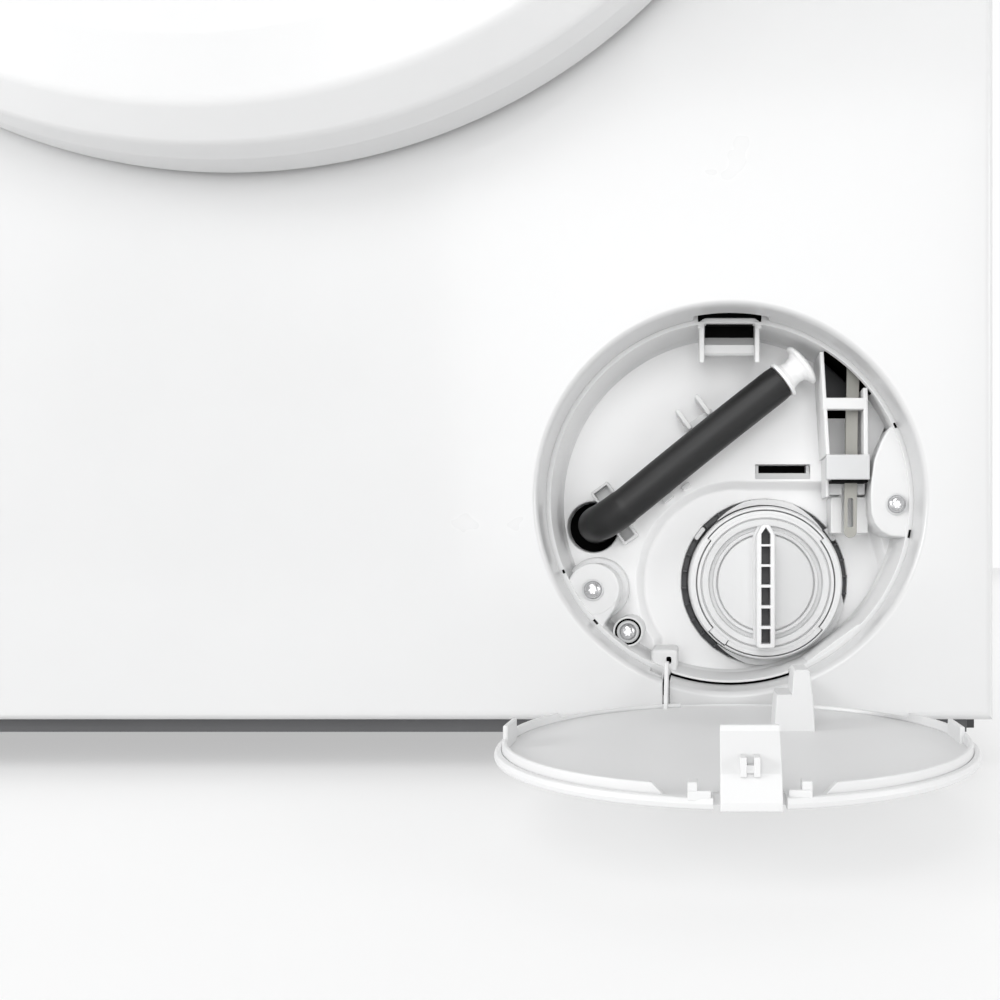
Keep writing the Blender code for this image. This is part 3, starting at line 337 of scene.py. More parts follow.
def finish(name, colour, roughness, spread=0.03, rough_spread=0.06, blotch=14.0, grain=1800.0,
           grain_depth=0.03, stretch=(1, 1, 1), metallic=0.0, coat=0.0, transmission=0.0,
           subsurface=0.0, ior=1.5, pattern="NOISE", gloss=0.5):
    """A Principled material whose colour, roughness and surface vary procedurally."""
    made = bpy.data.materials.new("finish_" + name)
    made.use_nodes = True
    nodes, links = made.node_tree.nodes, made.node_tree.links
    shader = nodes["Principled BSDF"]
    place = nodes.new("ShaderNodeTexCoord")
    mapping = nodes.new("ShaderNodeMapping")
    mapping.inputs["Scale"].default_value = stretch
    links.new(place.outputs["Object"], mapping.inputs["Vector"])
    if pattern == "VORONOI":
        broad = nodes.new("ShaderNodeTexVoronoi")
        source = broad.outputs["Color"]
    else:
        broad = nodes.new("ShaderNodeTexNoise")
        broad.inputs["Detail"].default_value = 4.0
        source = broad.outputs["Fac"]
    broad.inputs["Scale"].default_value = blotch
    links.new(mapping.outputs["Vector"], broad.inputs["Vector"])
    ramp = nodes.new("ShaderNodeValToRGB")
    ramp.color_ramp.elements[0].position = 0.3
    ramp.color_ramp.elements[1].position = 0.7
    for element, gain in zip(ramp.color_ramp.elements, (1 - spread, 1 + spread * 0.5)):
        element.color = (*(min(c * gain, 1.0) for c in colour), 1.0)
    links.new(source, ramp.inputs["Fac"])
    links.new(ramp.outputs["Color"], shader.inputs["Base Color"])
    spans = nodes.new("ShaderNodeMapRange")
    spans.inputs["To Min"].default_value = max(roughness - rough_spread, 0.02)
    spans.inputs["To Max"].default_value = min(roughness + rough_spread, 1.0)
    links.new(source, spans.inputs["Value"])
    links.new(spans.outputs["Result"], shader.inputs["Roughness"])
    fine = nodes.new("ShaderNodeTexNoise")
    fine.inputs["Scale"].default_value = grain
    fine.inputs["Detail"].default_value = 2.0
    links.new(mapping.outputs["Vector"], fine.inputs["Vector"])
    bump = nodes.new("ShaderNodeBump")
    bump.inputs["Strength"].default_value = 0.35
    bump.inputs["Distance"].default_value = grain_depth * MM
    links.new(fine.outputs["Fac"], bump.inputs["Height"])
    links.new(bump.outputs["Normal"], shader.inputs["Normal"])
    shader.inputs["Metallic"].default_value = metallic
    shader.inputs["Coat Weight"].default_value = coat
    shader.inputs["Coat Roughness"].default_value = 0.12
    shader.inputs["Transmission Weight"].default_value = transmission
    shader.inputs["Subsurface Weight"].default_value = subsurface
    shader.inputs["Subsurface Radius"].default_value = (0.004, 0.004, 0.004)
    shader.inputs["Subsurface Scale"].default_value = 0.5
    shader.inputs["IOR"].default_value = ior
    shader.inputs["Specular IOR Level"].default_value = gloss
    FINISHES[name] = made
    return made


def make_finishes():
    finish("white_steel", (0.635, 0.637, 0.639), 0.30, spread=0.012, grain=420, grain_depth=0.02,
           coat=0.35)
    # white_plastic on the insert's recessed plate is a brighter copy of the moulding's rim_plastic:
    # painted light against the shade deep in the hatch
    finish("white_plastic", (0.95, 0.951, 0.952), 0.42, spread=0.02, grain=2600,
           grain_depth=0.02, subsurface=0.06)
    finish("grey_plastic", (0.62, 0.625, 0.63), 0.46, spread=0.03, grain=2400, grain_depth=0.03)
    finish("rim_plastic", (0.74, 0.742, 0.743), 0.42, spread=0.02, grain=2600, grain_depth=0.02)
    # painted shade: a near-black finish with little reflection, for the faces put where only shade
    # is seen in the hatch
    finish("painted_shade_black", (0.004, 0.004, 0.0042), 0.7, spread=0.3, blotch=80, grain=900,
           grain_depth=0.05, gloss=0.05)
    finish("cap_plastic", (0.765, 0.768, 0.77), 0.4, spread=0.02, grain=2400, grain_depth=0.02)
    finish("outer_plastic", (0.685, 0.687, 0.689), 0.36, spread=0.015, grain=2400,
           grain_depth=0.02, coat=0.15)
    finish("flap_plastic", (0.685, 0.687, 0.689), 0.4, spread=0.02, grain=2400, grain_depth=0.02)
    finish("strap_grey", (0.37, 0.365, 0.335), 0.5, spread=0.05, grain=1500, grain_depth=0.03,
           stretch=(1, 1, 0.08))
    finish("dark_plastic", (0.085, 0.086, 0.09), 0.5, spread=0.12, grain=2200, grain_depth=0.05)
    finish("black_rubber", (0.0085, 0.0085, 0.009), 0.45, spread=0.25, rough_spread=0.08,
           blotch=60, grain=1600, grain_depth=0.03)
    finish("seal_rubber", (0.20, 0.20, 0.21), 0.6, spread=0.08, grain=1500, grain_depth=0.05)
    finish("steel", (0.72, 0.72, 0.73), 0.26, spread=0.08, rough_spread=0.1, blotch=260,
           grain=2600, grain_depth=0.02, metallic=1.0)
    finish("galvanised", (0.52, 0.53, 0.54), 0.42, spread=0.09, rough_spread=0.08, blotch=160,
           grain=900, grain_depth=0.03, metallic=0.9, pattern="VORONOI")
    finish("glass", (0.88, 0.9, 0.9), 0.05, spread=0.01, rough_spread=0.02, grain=60,
           grain_depth=0.02, transmission=1.0, ior=1.47)
    finish("smoked_glass", (0.02, 0.021, 0.024), 0.06, spread=0.1, rough_spread=0.03, grain=60,
           grain_depth=0.02, coat=0.6)
    finish("cast_iron", (0.11, 0.11, 0.115), 0.7, spread=0.3, blotch=90, grain=700,
           grain_depth=0.3, metallic=0.4)


# ---- the front panel -----------------------------------------------
def rolled_over(edge):
    """Whether an edge of the panel is rolled: those round its face, but not the top one."""
    ends = [vertex.co for vertex in edge.verts]
    return all(end.y < 1e-6 for end in ends) and any(end.z < PANEL_TOP - 1 for end in ends)


def hole_cutter(mouth, radius, roll, throat, end, x, z):
    """A cutter for a drawn hole: a rolled mouth, then a taper to the throat."""
    rolled = [(radius + (mouth - radius) * (1 - math.sin(a)), roll * (1 - math.cos(a)))
              for a in (math.radians(9 * k) for k in range(11))]
    return lathe("cutter", [(0, -5), (mouth, -5), *rolled, (throat, end), (throat, 60), (0, 60)],
                 x, z, 192)


def arm_notches(x=0.0, z=0.0):
    """Cutters for the slots that the flap's arms swing in."""
    return [block("cutter", (x + side - 1.4, x + side + 1.4), (-1, 21.6), (z - 81.4, z - 62), 0)
            for side in (-25.5, 25.5)]


def make_front_panel():
    hx, hz, dz = HATCH.x / MM, HATCH.z / MM, DOOR.z / MM
    panel = block("front_panel_skin", (-HALF_W, HALF_W), (0, 18), (PANEL_BOTTOM, PANEL_TOP), 4,
                  rolled_over, 8)
    cut(panel, block("cutter", (-HALF_W + SHEET, HALF_W - SHEET), (SHEET, 40),
                     (PANEL_BOTTOM + SHEET, PANEL_TOP - SHEET), 2.8, None, 6))
    join(panel, lathe("boss", [(0, 0.6), (LIP_R + SHEET, 0.6), (LIP_R + SHEET, LIP_END),
                               (0, LIP_END)], hx, hz),
         lathe("boss", [(0, 0.6), (DOOR_HOLE_R + SHEET, 0.6), (DOOR_HOLE_R + SHEET, 30), (0, 30)],
               0, dz),
         block("lug", (hx + 33.9, hx + 36.5), (0.6, 7), (hz - 84.5, hz - 76.4), 0),
         block("lug", (hx - 32.5, hx - 29.9), (0.6, 7), (hz - 84.5, hz - 76.4), 0))
    cut(panel, hole_cutter(DOOR_HOLE_R + 2.4, DOOR_HOLE_R, 2.4, DOOR_HOLE_R, 30, 0, dz))
    cut(panel, hole_cutter(MOUTH_R, LIP_R, 3.0, THROAT_R, LIP_END, hx, hz))
    cut(panel, block("cutter", (202, 216), (-5, 5), (dz - 8, dz + 8), 0),
        lathe("cutter", [(0, hx - 40), (1.9, hx - 40), (1.9, hx + 45), (0, hx + 45)], 3.7,
              PANEL_BOTTOM + 8.1, segments=24, axis="X"),
        # the slot over the catch that the flap's tongue snaps into
        stack("cutter", [(fillet([(hx - 16.8, hz + 70), (hx + 17.4, hz + 70), (hx + 14, hz + 79),
                                  (hx - 13, hz + 79)], 1), d) for d in (11.2, 18)]),
        block("cutter", (hx - 32.4, hx - 27.6), (8.5, 17.5), (hz - 79, hz - 66), 0),
        *arm_notches(hx, hz))
    settle(panel, MACHINE, "appliance", "white_steel", "front_panel")


# ---- the moulded insert of the hatch -------------------------------
def tray_outline():
    """The drip tray: a round left side, a straight top and a slanted right side."""
    corner = fillet([(10, 9.6, 0), (61.5, 9.4, 5), (64.5, -10, 6), (70.9, -30, 8), (74, -95, 0),
                     (-30, -95, 0)], 4, 6)
    return [*arc(4.1, -34.5, 44.3, 215, 84, 60), *corner]


CATCH_LEG = [(18.6, 57.2), (18.6, 73.2), (44.4, 73.2), (44.4, 63.6)]
RING_FRONT = 17.5                          # depths of the insert's faces: ring, then flange
FLANGE_FRONT = 18.9
BASE = PLATE + 0.4                         # where pieces that stand on the plate end, inside it


def hatch_limit(radius):
    """A disc of the hatch, to keep pieces inside the ring."""
    return lathe("limit", [(0, 10), (radius, 10), (radius, 70), (0, 70)])


def insert_ring():
    """The round wall with its seat behind the lip, its window and the gap at the bottom."""
    wall = turned("wall", [(INSERT_INNER_R, RING_FRONT, 0.3), (INSERT_INNER_R - 0.4, 42, 1),
                           (INSERT_INNER_R - 1.7, 44.4, 0.3), (INSERT_R, 44.6, 0.3),
                           (INSERT_R, RING_FRONT, 0.2)], 0.4)
    seat = lathe("seat", [(75.2, 17.6), (78.2, 17.6), (78.2, 18.8), (75.2, 18.8)])
    join(wall, seat)
    window = [(39.2, 60.6), (39.2, 70), (66, 70), (66, 44.6), (57, 44.6), (41.2, 37.4)]
    return cut(wall, block("cutter", (-10.4, 10.3), (16, 37), (60, 80), 0), *arm_notches(),
               block("cutter", (-13.2, 13.0), (16, 21), (73.6, 80), 0),
               lathe("cutter", [(74.6, 10), (79, 10), (79, 21), (74.6, 21)], sector=(-110, -69)),
               pad("cutter", window, 20.6, 60, 0.1))


def insert_plate():
    """The back of the hatch, with the drip tray sunk in it and its openings."""
    plate = lathe("plate", [(0, PLATE), (75, PLATE), (75, 52), (0, 52)])
    tray = tray_outline()
    levels = [(-1.2, PLATE - 0.5), (-0.7, PLATE + 0.05), (-0.2, PLATE + 0.35), (0.1, PLATE + 0.9),
              (2.1, FLOOR - 1.0), (2.5, FLOOR - 0.35), (3.1, FLOOR - 0.05), (3.6, FLOOR)]
    pocket = stack("cutter", [(inset(tray, by), d) for by, d in levels])
    cut(plate, keep_inside(pocket, hatch_limit(73.2)))
    return cut(
        plate,
        lathe("cutter", [(0, 48), (PUMP_HOLE_R + 0.9, 48), (PUMP_HOLE_R + 0.8, FLOOR - 0.02),
                         (PUMP_HOLE_R + 0.25, FLOOR + 0.25), (PUMP_HOLE_R, FLOOR + 0.9),
                         (PUMP_HOLE_R, 60), (0, 60)], *PUMP),
        lathe("cutter", [(0, 42), (12.2, 42), (12.1, PLATE - 0.02), (11.4, PLATE + 0.3),
                         (11.0, PLATE + 1.1), (10.8, 60), (0, 60)], *HOSE_HOLE, segments=72),
        block("cutter", (11.6, 35.8), (42, 60), (11.0, 17.6), 0.5),
        pad("cutter", [(41.4, 70), (66, 70), (66, 46.2), (56.5, 46.2), (56.5, 37.6), (41.4, 37.6)],
            40, 60, 0.1))


def flange_and_ears():
    """The screwed flange on the right and the ear on the left, cut off by the ring."""
    flange = fillet([(73, 33.4, 0), (67.5, 31.8, 2), (65.1, 29.4), (62.4, 24.3), (59.6, 17),
                     (58.5, 9.6), (58.1, 2.3), (58.4, -5), (59.8, -9.3), (62.4, -12.3),
                     (66.1, -14.4), (76, -15.4, 0), (80, 8, 0)], 5, 5)
    ear_foot = fillet([(-66, -34, 0), (-46.4, -37), (-47.4, -44), (-51.8, -50.4),
                       (-53.4, -56.5, 1), (-60, -60, 0), (-75, -45, 0)], 4, 5)
    made = (pad("flange", flange, FLANGE_FRONT, PLATE + 0.5, 0.9),
            pad("ear", circle(-56.4, -36.4, 10.8, 72), FLANGE_FRONT, PLATE + 0.5, 0.9),
            pad("ear", circle(-56.8, -36.8, 13.6, 72), 36, PLATE + 0.5, 1.2),
            pad("ear", ear_foot, FLANGE_FRONT + 0.2, PLATE + 0.5, 0.9))
    return [keep_inside(piece, hatch_limit(74.2)) for piece in made]


def strap_frame():
    """Rails, bar and ledges that the release strap runs between."""
    return [
        pad("rail", [(37.2, 61.6), (38.7, 61.6), (41.3, 19.2), (39.7, 19.2)], FLANGE_FRONT, BASE,
            0.35),
        pad("rail", [(55.1, 46.8), (56.9, 46.8), (57.2, 8.9), (55.4, 8.9)], FLANGE_FRONT, BASE,
            0.35),
        block("bar", (38.4, 56.6), (18.8, 22.6), (37.9, 42.7), 0.5),
        block("rail", (40.6, 41.9), (27, BASE), (2.2, 19.2), 0.4),
        block("ledge", (41.8, 48.0), (30, BASE), (3.4, 8.6), 0.5),
        block("ledge", (54.3, 57.6), (30, BASE), (3.4, 8.6), 0.5),
        block("block", (43.6, 48.4), (34, FLOOR + 0.4), (-13.0, 2.6), 0.6),
        block("block", (54.6, 59.6), (34, FLOOR + 0.4), (-13.0, 2.6), 0.6),
        pad("facet", [(57.6, 46.8), (59.4, 46.2), (66.4, 32.6), (59.8, 16.6), (57.6, 17)], 31,
            BASE, 0.6),
    ]


def flap_catch():
    """Two legs joined by a bow, with a sloping ledge between them."""
    bow = arc(-9.1, 71.1, 3.3, 180, 90, 6) + arc(8.8, 71.1, 3.3, 90, 0, 6)
    return [
        pad("leg", CATCH_LEG, -12.7, -10.5, 0.5, "X", True),
        pad("leg", CATCH_LEG, 10.3, 12.3, 0.5, "X", True),
        pad("bow", ribbon(bow, 1.05), 18.0, 22.4, 0.5),
        pad("ledge", [(BASE, 66.8), (25.4, 61.4), (24.6, 62.2), (24.6, 65.6), (26.4, 66.0),
                      (30, 69.8), (BASE, 70)], -10.6, 10.4, 0.1, "X", True),
    ]


def hose_clips():
    """Open frames and prongs beside the drain hose, turned to its slope."""
    slope = 36
    clips = []
    for x, z, width, height in ((-54.0, 4.0, 9.0, 7.6), (-44.4, -12.6, 7.4, 8.0)):
        clips.append(cut(pad("clip", tilted(x, z, width, height, slope, 0.8), 37, BASE, 0.3),
                         pad("cutter", tilted(x, z, width - 2.2, height - 2.2, slope, 0.4), 30, 43,
                             0.1)))
    for x, z in ((-19.4, 35.6), (-11.2, 41.8)):
        clips.append(pad("prong", tilted(x, z, 2.1, 10.5, slope, 1.0), 31, BASE, 0.5))
    clips.append(pad("clip", tilted(-12.9, 35.4, 14.4, 3.2, slope - 2, 0.8), 35, BASE, 0.5))
    clips.append(pad("clip", tilted(-26.6, 2.6, 5.2, 2.4, slope, 0.5), 38, BASE, 0.4))
    clips.append(pad("clip", tilted(-18.6, 7.6, 4.0, 2.0, slope, 0.5), 38, BASE, 0.4))
    return clips


def make_insert():
    wall = insert_ring()
    plate = insert_plate()
    hinge = cut(block("hinge", (-32.8, -21.9), (21.5, BASE), (-70.8, -61.4), 1.6),
                block("cutter", (-26.4, -24.2), (20, 40), (-67.4, -64.4), 0.8))
    boss = turned("boss", [(3.6, 26.5), (3.6, 50), (6.3, 50), (6.3, 25.6), (5.5, 25.6),
                           (5.5, 26.5)], 0.3, x=BOSS[0], z=BOSS[1], segments=64)
    # the ring is flat on the inside at the lower right
    flat = pad("flat", arc(0, 0, 74.1, -64.5, -43.6, 12) + [(53.0, -50.4), (31.6, -66.0)], 17.6,
               BASE, 0.4)
    pieces = [wall, *flange_and_ears(), *strap_frame(), *flap_catch(), hinge, boss, flat,
              *hose_clips()]
    # the plate takes a brighter copy of the moulding's plastic, painted light against the shade
    # deep in the hatch; the front pieces take the darker rim copy
    settle(plate, HATCH, "appliance", "white_plastic", "hatch_insert")
    settle(merge("hatch_insert_moulding", pieces), HATCH, "appliance", "rim_plastic")


def make_hatch_painted_shade():
    """Painted shade: black faces put behind the hatch's openings, slots and gaps, where only shade
    is seen, and black nicks painted as the shaded gaps where the ears snap into the ring.
    """
    nick_shades = []
    # black nicks painted as the shade in the gaps where the ears snap into the ring
    for angle, size, out in ((203, 1.6, 74.2), (222, 2.4, 74.2), (24.6, 2.2, 74.6),
                             (-10.4, 3.4, 74.9)):
        nick_shades.append(pad("nick_shade", tilted(*around(0, 0, out, angle), 0.9, size, angle, 0.1), 17.2,
                         18.2, 0.05))
    shades = [
        block("shade", (9, 38), (54, 58), (8, 20), 0),
        block("shade", (38, 68), (59, 60), (30, 74), 0),
        lathe("shade", [(77.6, 20.7), (79.6, 20.7), (79.6, 59.4), (77.6, 59.4)], sector=(30, 64)),
        block("shade", (42.0, 57.0), (19.2, 30), (7.9, 9.0), 0.2),
        lathe("shade", [(74.6, 20), (78.4, 20), (78.4, 20.8), (74.6, 20.8)], sector=(-109, -70)),
        block("shade", (-33, -27), (8, 17.8), (-80, -79), 0),
        *nick_shades,
        block("shade", (-27, -23.6), (27, 39), (-68, -63.8), 0),
        lathe("shade", [(0, 59), (13, 59), (13, 60), (0, 60)], *HOSE_HOLE, segments=40),
        block("shade", (-18, 19), (20.5, 24), (73.2, 79.5), 0),
        block("shade", (-10.2, 10.1), (31, 33), (69.9, 77.5), 0),
        turned("shade", [(4.7, 26.0), (5.5, 26.0), (5.5, 26.8), (4.7, 26.8)], 0.2, x=BOSS[0],
               z=BOSS[1], segments=64),
    ]
    # every piece here is painted shade in a near-black finish
    settle(merge("hatch_painted_shade", shades), HATCH, "appliance", "painted_shade_black")


def make_strap_guide():
    """The strap's lower bar, the slot's shelf, and the door release behind the window."""
    shelf = [block("bar", (39.8, 57.8), (18.6, 23), (8.9, 19.3), 0.6),
             block("shelf", (10.5, 37), (46.6, 53), (9.5, 13.9), 0.4),
             block("ledge", (11.8, 13.2), (46.8, 53), (12.6, 17.4), 0.2),
             block("ledge", (34.2, 35.6), (46.8, 53), (12.6, 17.4), 0.2)]
    settle(merge("hatch_strap_guide", shelf), HATCH, "appliance", "grey_plastic")
    release = pad("release", [(38, 42.6), (53, 42.6), (53, 54.2), (42.6, 63.4), (38, 66)], 49, 56,
                  1.5)
    settle(merge("hatch_release_lever", [release]), HATCH, "appliance", "dark_plastic")


def make_screws():
    """Pan-head screws with a six-lobed recess."""
    lobes = [around(0, 0, 1.5 + 0.32 * math.cos(math.radians(6 * angle)), angle)
             for angle in range(0, 360, 5)]
    collars = []
    for name, x, z, radius, seat in (("hatch_screw_left", -56.4, -36.6, 3.55, 18.7),
                                     ("hatch_screw_lower", *BOSS, 3.4, 26.3),
                                     ("hatch_screw_right", 68.7, -1.3, 3.55, 18.7)):
        head = lathe("head", [(0, seat - 2.5), (radius * 0.35, seat - 2.45),
                              (radius * 0.62, seat - 2.2), (radius * 0.84, seat - 1.7),
                              (radius * 0.97, seat - 0.9), (radius, seat - 0.3), (radius, seat),
                              (1.5, seat), (1.5, seat + 9), (0, seat + 9)], x, z, segments=48)
        cut(head, stack("cutter", [([(x + u, z + v) for u, v in lobes], seat - 4),
                                   ([(x + u * 0.9, z + v * 0.9) for u, v in lobes], seat - 1.0)]))
        collars.append(turned("collar", [(radius + 0.1, seat - 0.5), (radius + 0.9, seat - 0.5),
                                         (radius + 0.9, seat), (radius + 0.1, seat)], 0.2, x=x,
                              z=z, segments=48))
        settle(merge(name + "_detail", [head]), HATCH, "appliance", "steel", name)
    settle(merge("hatch_screw_collars", collars), HATCH, "appliance", "grey_plastic")


# ---- the pump filter -----------------------------------------------
def make_filter():
    """The filter's cap: a turned face, a stepped joint with its rims, and the grip."""
    x, z = PUMP
    face = turned("face", [(0, 38.3), (20.6, 38.1), (20.75, 39.4), (21.1, 39.4), (21.3, 37.4),
                           (22.6, 37.2), (22.9, 39.4), (24.3, 39.4), (24.7, 36.8), (27.3, 36.3),
                           (27.5, 37.8), (27.9, 37.8), (28.1, 36.3), (29.5, 36.3), (29.6, 41),
                           (29.6, 56), (0, 56)], 0.3, x=x, z=z)
    pieces = [face]
    # the dark joint round the cap steps in at the sides and out at top and bottom
    for start, end, inner in ((-39.5, 37.3, 30.0), (37.3, 142.6, 31.5), (142.6, 220.2, 30.0),
                              (220.2, 237, 32.4), (237, 320.5, 31.9)):
        if inner > 30.5:
            pieces.append(lathe("band", fillet([(29.4, 36.4), (inner - 0.45, 36.4),
                                                (inner - 0.45, 41), (29.4, 41)], 0.3), x, z,
                                sector=(start + 0.4, end - 0.4)))
        pieces.append(lathe("rim", fillet([(inner, 36.0), (32.4, 36.0), (33.1, 37.4),
                                           (33.1, 44), (inner, 44)], 0.45), x, z,
                            sector=(start, end)))
    pieces.append(turned("skirt", [(29.4, 41.6), (33.0, 41.6), (33.8, 50), (33.6, 56),
                                   (29.4, 56)], 0.2, x=x, z=z))
    pieces.append(turned("plug", [(0, 56), (29.6, 56), (29.6, 64), (0, 64)], 0.3, x=x, z=z))
    # the grip is an open bar with a pointed end
    middle, half, low, high = 15.2, 3.85, -61.3, -9.3
    outline = fillet([(middle - half, low), (middle + half, low), (middle + half, high - 4.6, 2.4),
                      (middle + 1.6, high, 1.4), (middle - 1.6, high, 1.4),
                      (middle - half, high - 4.6, 2.4)], 1.3)
    grip = pad("grip", outline, 24.0, 39.5, 0.7)
    width = 1.95
    cells = [[(middle - width, -17.7), (middle + width, -17.7), (middle + width, -13.4),
              (middle, -10.5), (middle - width, -13.4)]]
    for below, above in ((-26.1, -18.6), (-34.6, -27.1), (-43.3, -35.8), (-51.9, -44.5),
                         (-59.4, -53.1)):
        cells.append(rectangle(middle - width, below, middle + width, above))
    cut(grip, *(pad("cutter", cell, 20, 36.4, 0.05) for cell in cells))
    pieces.append(grip)
    # a raised foot where the grip meets the face
    pieces.append(pad("foot", inset(outline, -1.0), 37.2, 39.5, 0.8))
    settle(merge("filter_cap_detail", pieces), HATCH, "filter", "cap_plastic", "filter_cap")
    # dark floors in the grip's open cells: painted shade where the hollow cells go dark
    cell_shades = [pad("floor", inset(cell, 0.05), 31.5, 36.2, 0.05) for cell in cells]
    settle(merge("filter_grip_cell_shade", cell_shades), HATCH, "filter", "dark_plastic")


def make_pump_mouth():
    """The ribbed mouth of the pump housing round the cap, and the light lands in front of it."""
    x, z = PUMP
    ribs = []
    for angle in range(4, 360, 12):
        rib = block("rib", (-1.1, 1.1), (47.6, 53.0), (-0.4, 0.4), 0.15)
        across, up = around(x, z, 35.6, angle)
        rib.data.transform(Matrix.Translation((across, 0, up))
                           @ Matrix.Rotation(-math.radians(angle), 4, "Y"))
        ribs.append(rib)
    ribs.append(turned("mouth", [(34.4, 52.4), (34.4, 58), (41, 58), (41, 52.4)], 0.3, x=x, z=z))
    settle(merge("pump_mouth", ribs), HATCH, "appliance", "dark_plastic")
    # broad lands above and below that thin out towards their ends, and two tabs at the sides
    lands = []
    for start, end, first, last in ((42, 127, 28, 23), (-127, -9, 24, 8)):
        outer = []
        for i in range(61):
            angle = start + (end - start) * i / 60
            width = 2.2 * min(1, (angle - start) / first, (end - angle) / last) + 0.3
            outer.append(around(x, z, 34 + width, angle))
        lands.append(pad("land", outer + arc(x, z, 34, end, start, 60), 45.5, 52, 0.1))
    for angle in (143, 36):
        lands.append(pad("tab", tilted(*around(x, z, 35.6, angle), 1.9, 6.2, angle, 0.7), 45.5, 52,
                         0.3))
    settle(merge("pump_collar", lands), HATCH, "appliance", "cap_plastic")


# ---- the emergency drain hose --------------------------------------
HOSE_ROUTE = [(-58.4, 100, -9.6), (-58.4, 60, -9.6), (-57.8, 42, -9.0), (-53.4, 32, -7.6),
              (-47.2, 28.6, -3.9), (-40.2, 28, 1.5), (-20, 28, 18.0), (0, 28, 34.0),
              (21.6, 28, 51.0)]
HOSE_R = 7.5


def make_hose():
    line = smooth_line(HOSE_ROUTE, 8)
    # the bend is a little thicker than the straight end
    radii = [HOSE_R + (0.25 if i < 37 else 0.0) for i in range(len(line))]
    radii[0] = HOSE_R - 0.1
    radii[-1] = HOSE_R - 0.3
    hose = sweep("drain_hose_detail", line, radii, 48)
    settle(hose, HATCH, "drain_hose", "black_rubber", "drain_hose")
    along = (Vector(HOSE_ROUTE[-1]) - Vector(HOSE_ROUTE[-2])).normalized()
    profile = [(0, 0.4), (8.3, 0.4), (8.3, 1.9), (6.6, 2.4), (5.6, 3.6), (5.2, 6.2), (5.6, 8.4),
               (7.2, 9.8), (9.3, 10.4), (9.3, 11.5), (7.9, 12.4), (5.4, 13.1), (0, 13.3)]
    stopper = turned("hose_stopper_detail", profile, 0.7, axis="Z", segments=72)
    turn = Vector((0, 0, 1)).rotation_difference(along).to_matrix().to_4x4()
    stopper.data.transform(Matrix.Translation(HOSE_ROUTE[-1]) @ turn)
    settle(stopper, HATCH, "hose_stopper", "white_plastic", "hose_stopper")


def make_strap():
    tip = arc(50.7, -12.4, 2.6, 180, 360, 16)
    outline = [(49.3, 58.4), (48.7, 34), *tip, (53.8, 34), (54.6, 53.2)]
    strap = pad("release_strap_detail", outline, 25.4, 27.0, 0.3)
    cut(strap, pad("cutter", fillet([(49.5, -10.6), (51.9, -10.6), (51.9, 1.8),
                                     (49.5, 1.8)], 1.1), 20, 30, 0.05))
    settle(strap, HATCH, "release_strap", "strap_grey", "release_strap")


# ---- the flap ------------------------------------------------------
FLAP_CENTRE = -75.6


def flap_block(name, x, d, z, edge=0.35):
    """A block of the flap: across, depth before or behind the panel, and up from its bottom."""
    return block(name, x, d, z, edge)


def flap_arm(name, x, outline, edge=0.35):
    return pad(name, fillet(outline, 0.6, 3), x[0], x[1], edge, "X", True)


def flap_rim(start, end, top):
    """A stretch of the raised wall round the flap's inner face."""
    return lathe("rim", fillet([(70.5, 6.5), (72.3, 6.5), (72.1, top), (70.8, top)], 0.5), 0,
                 FLAP_CENTRE, axis="Z", sector=(start, end))


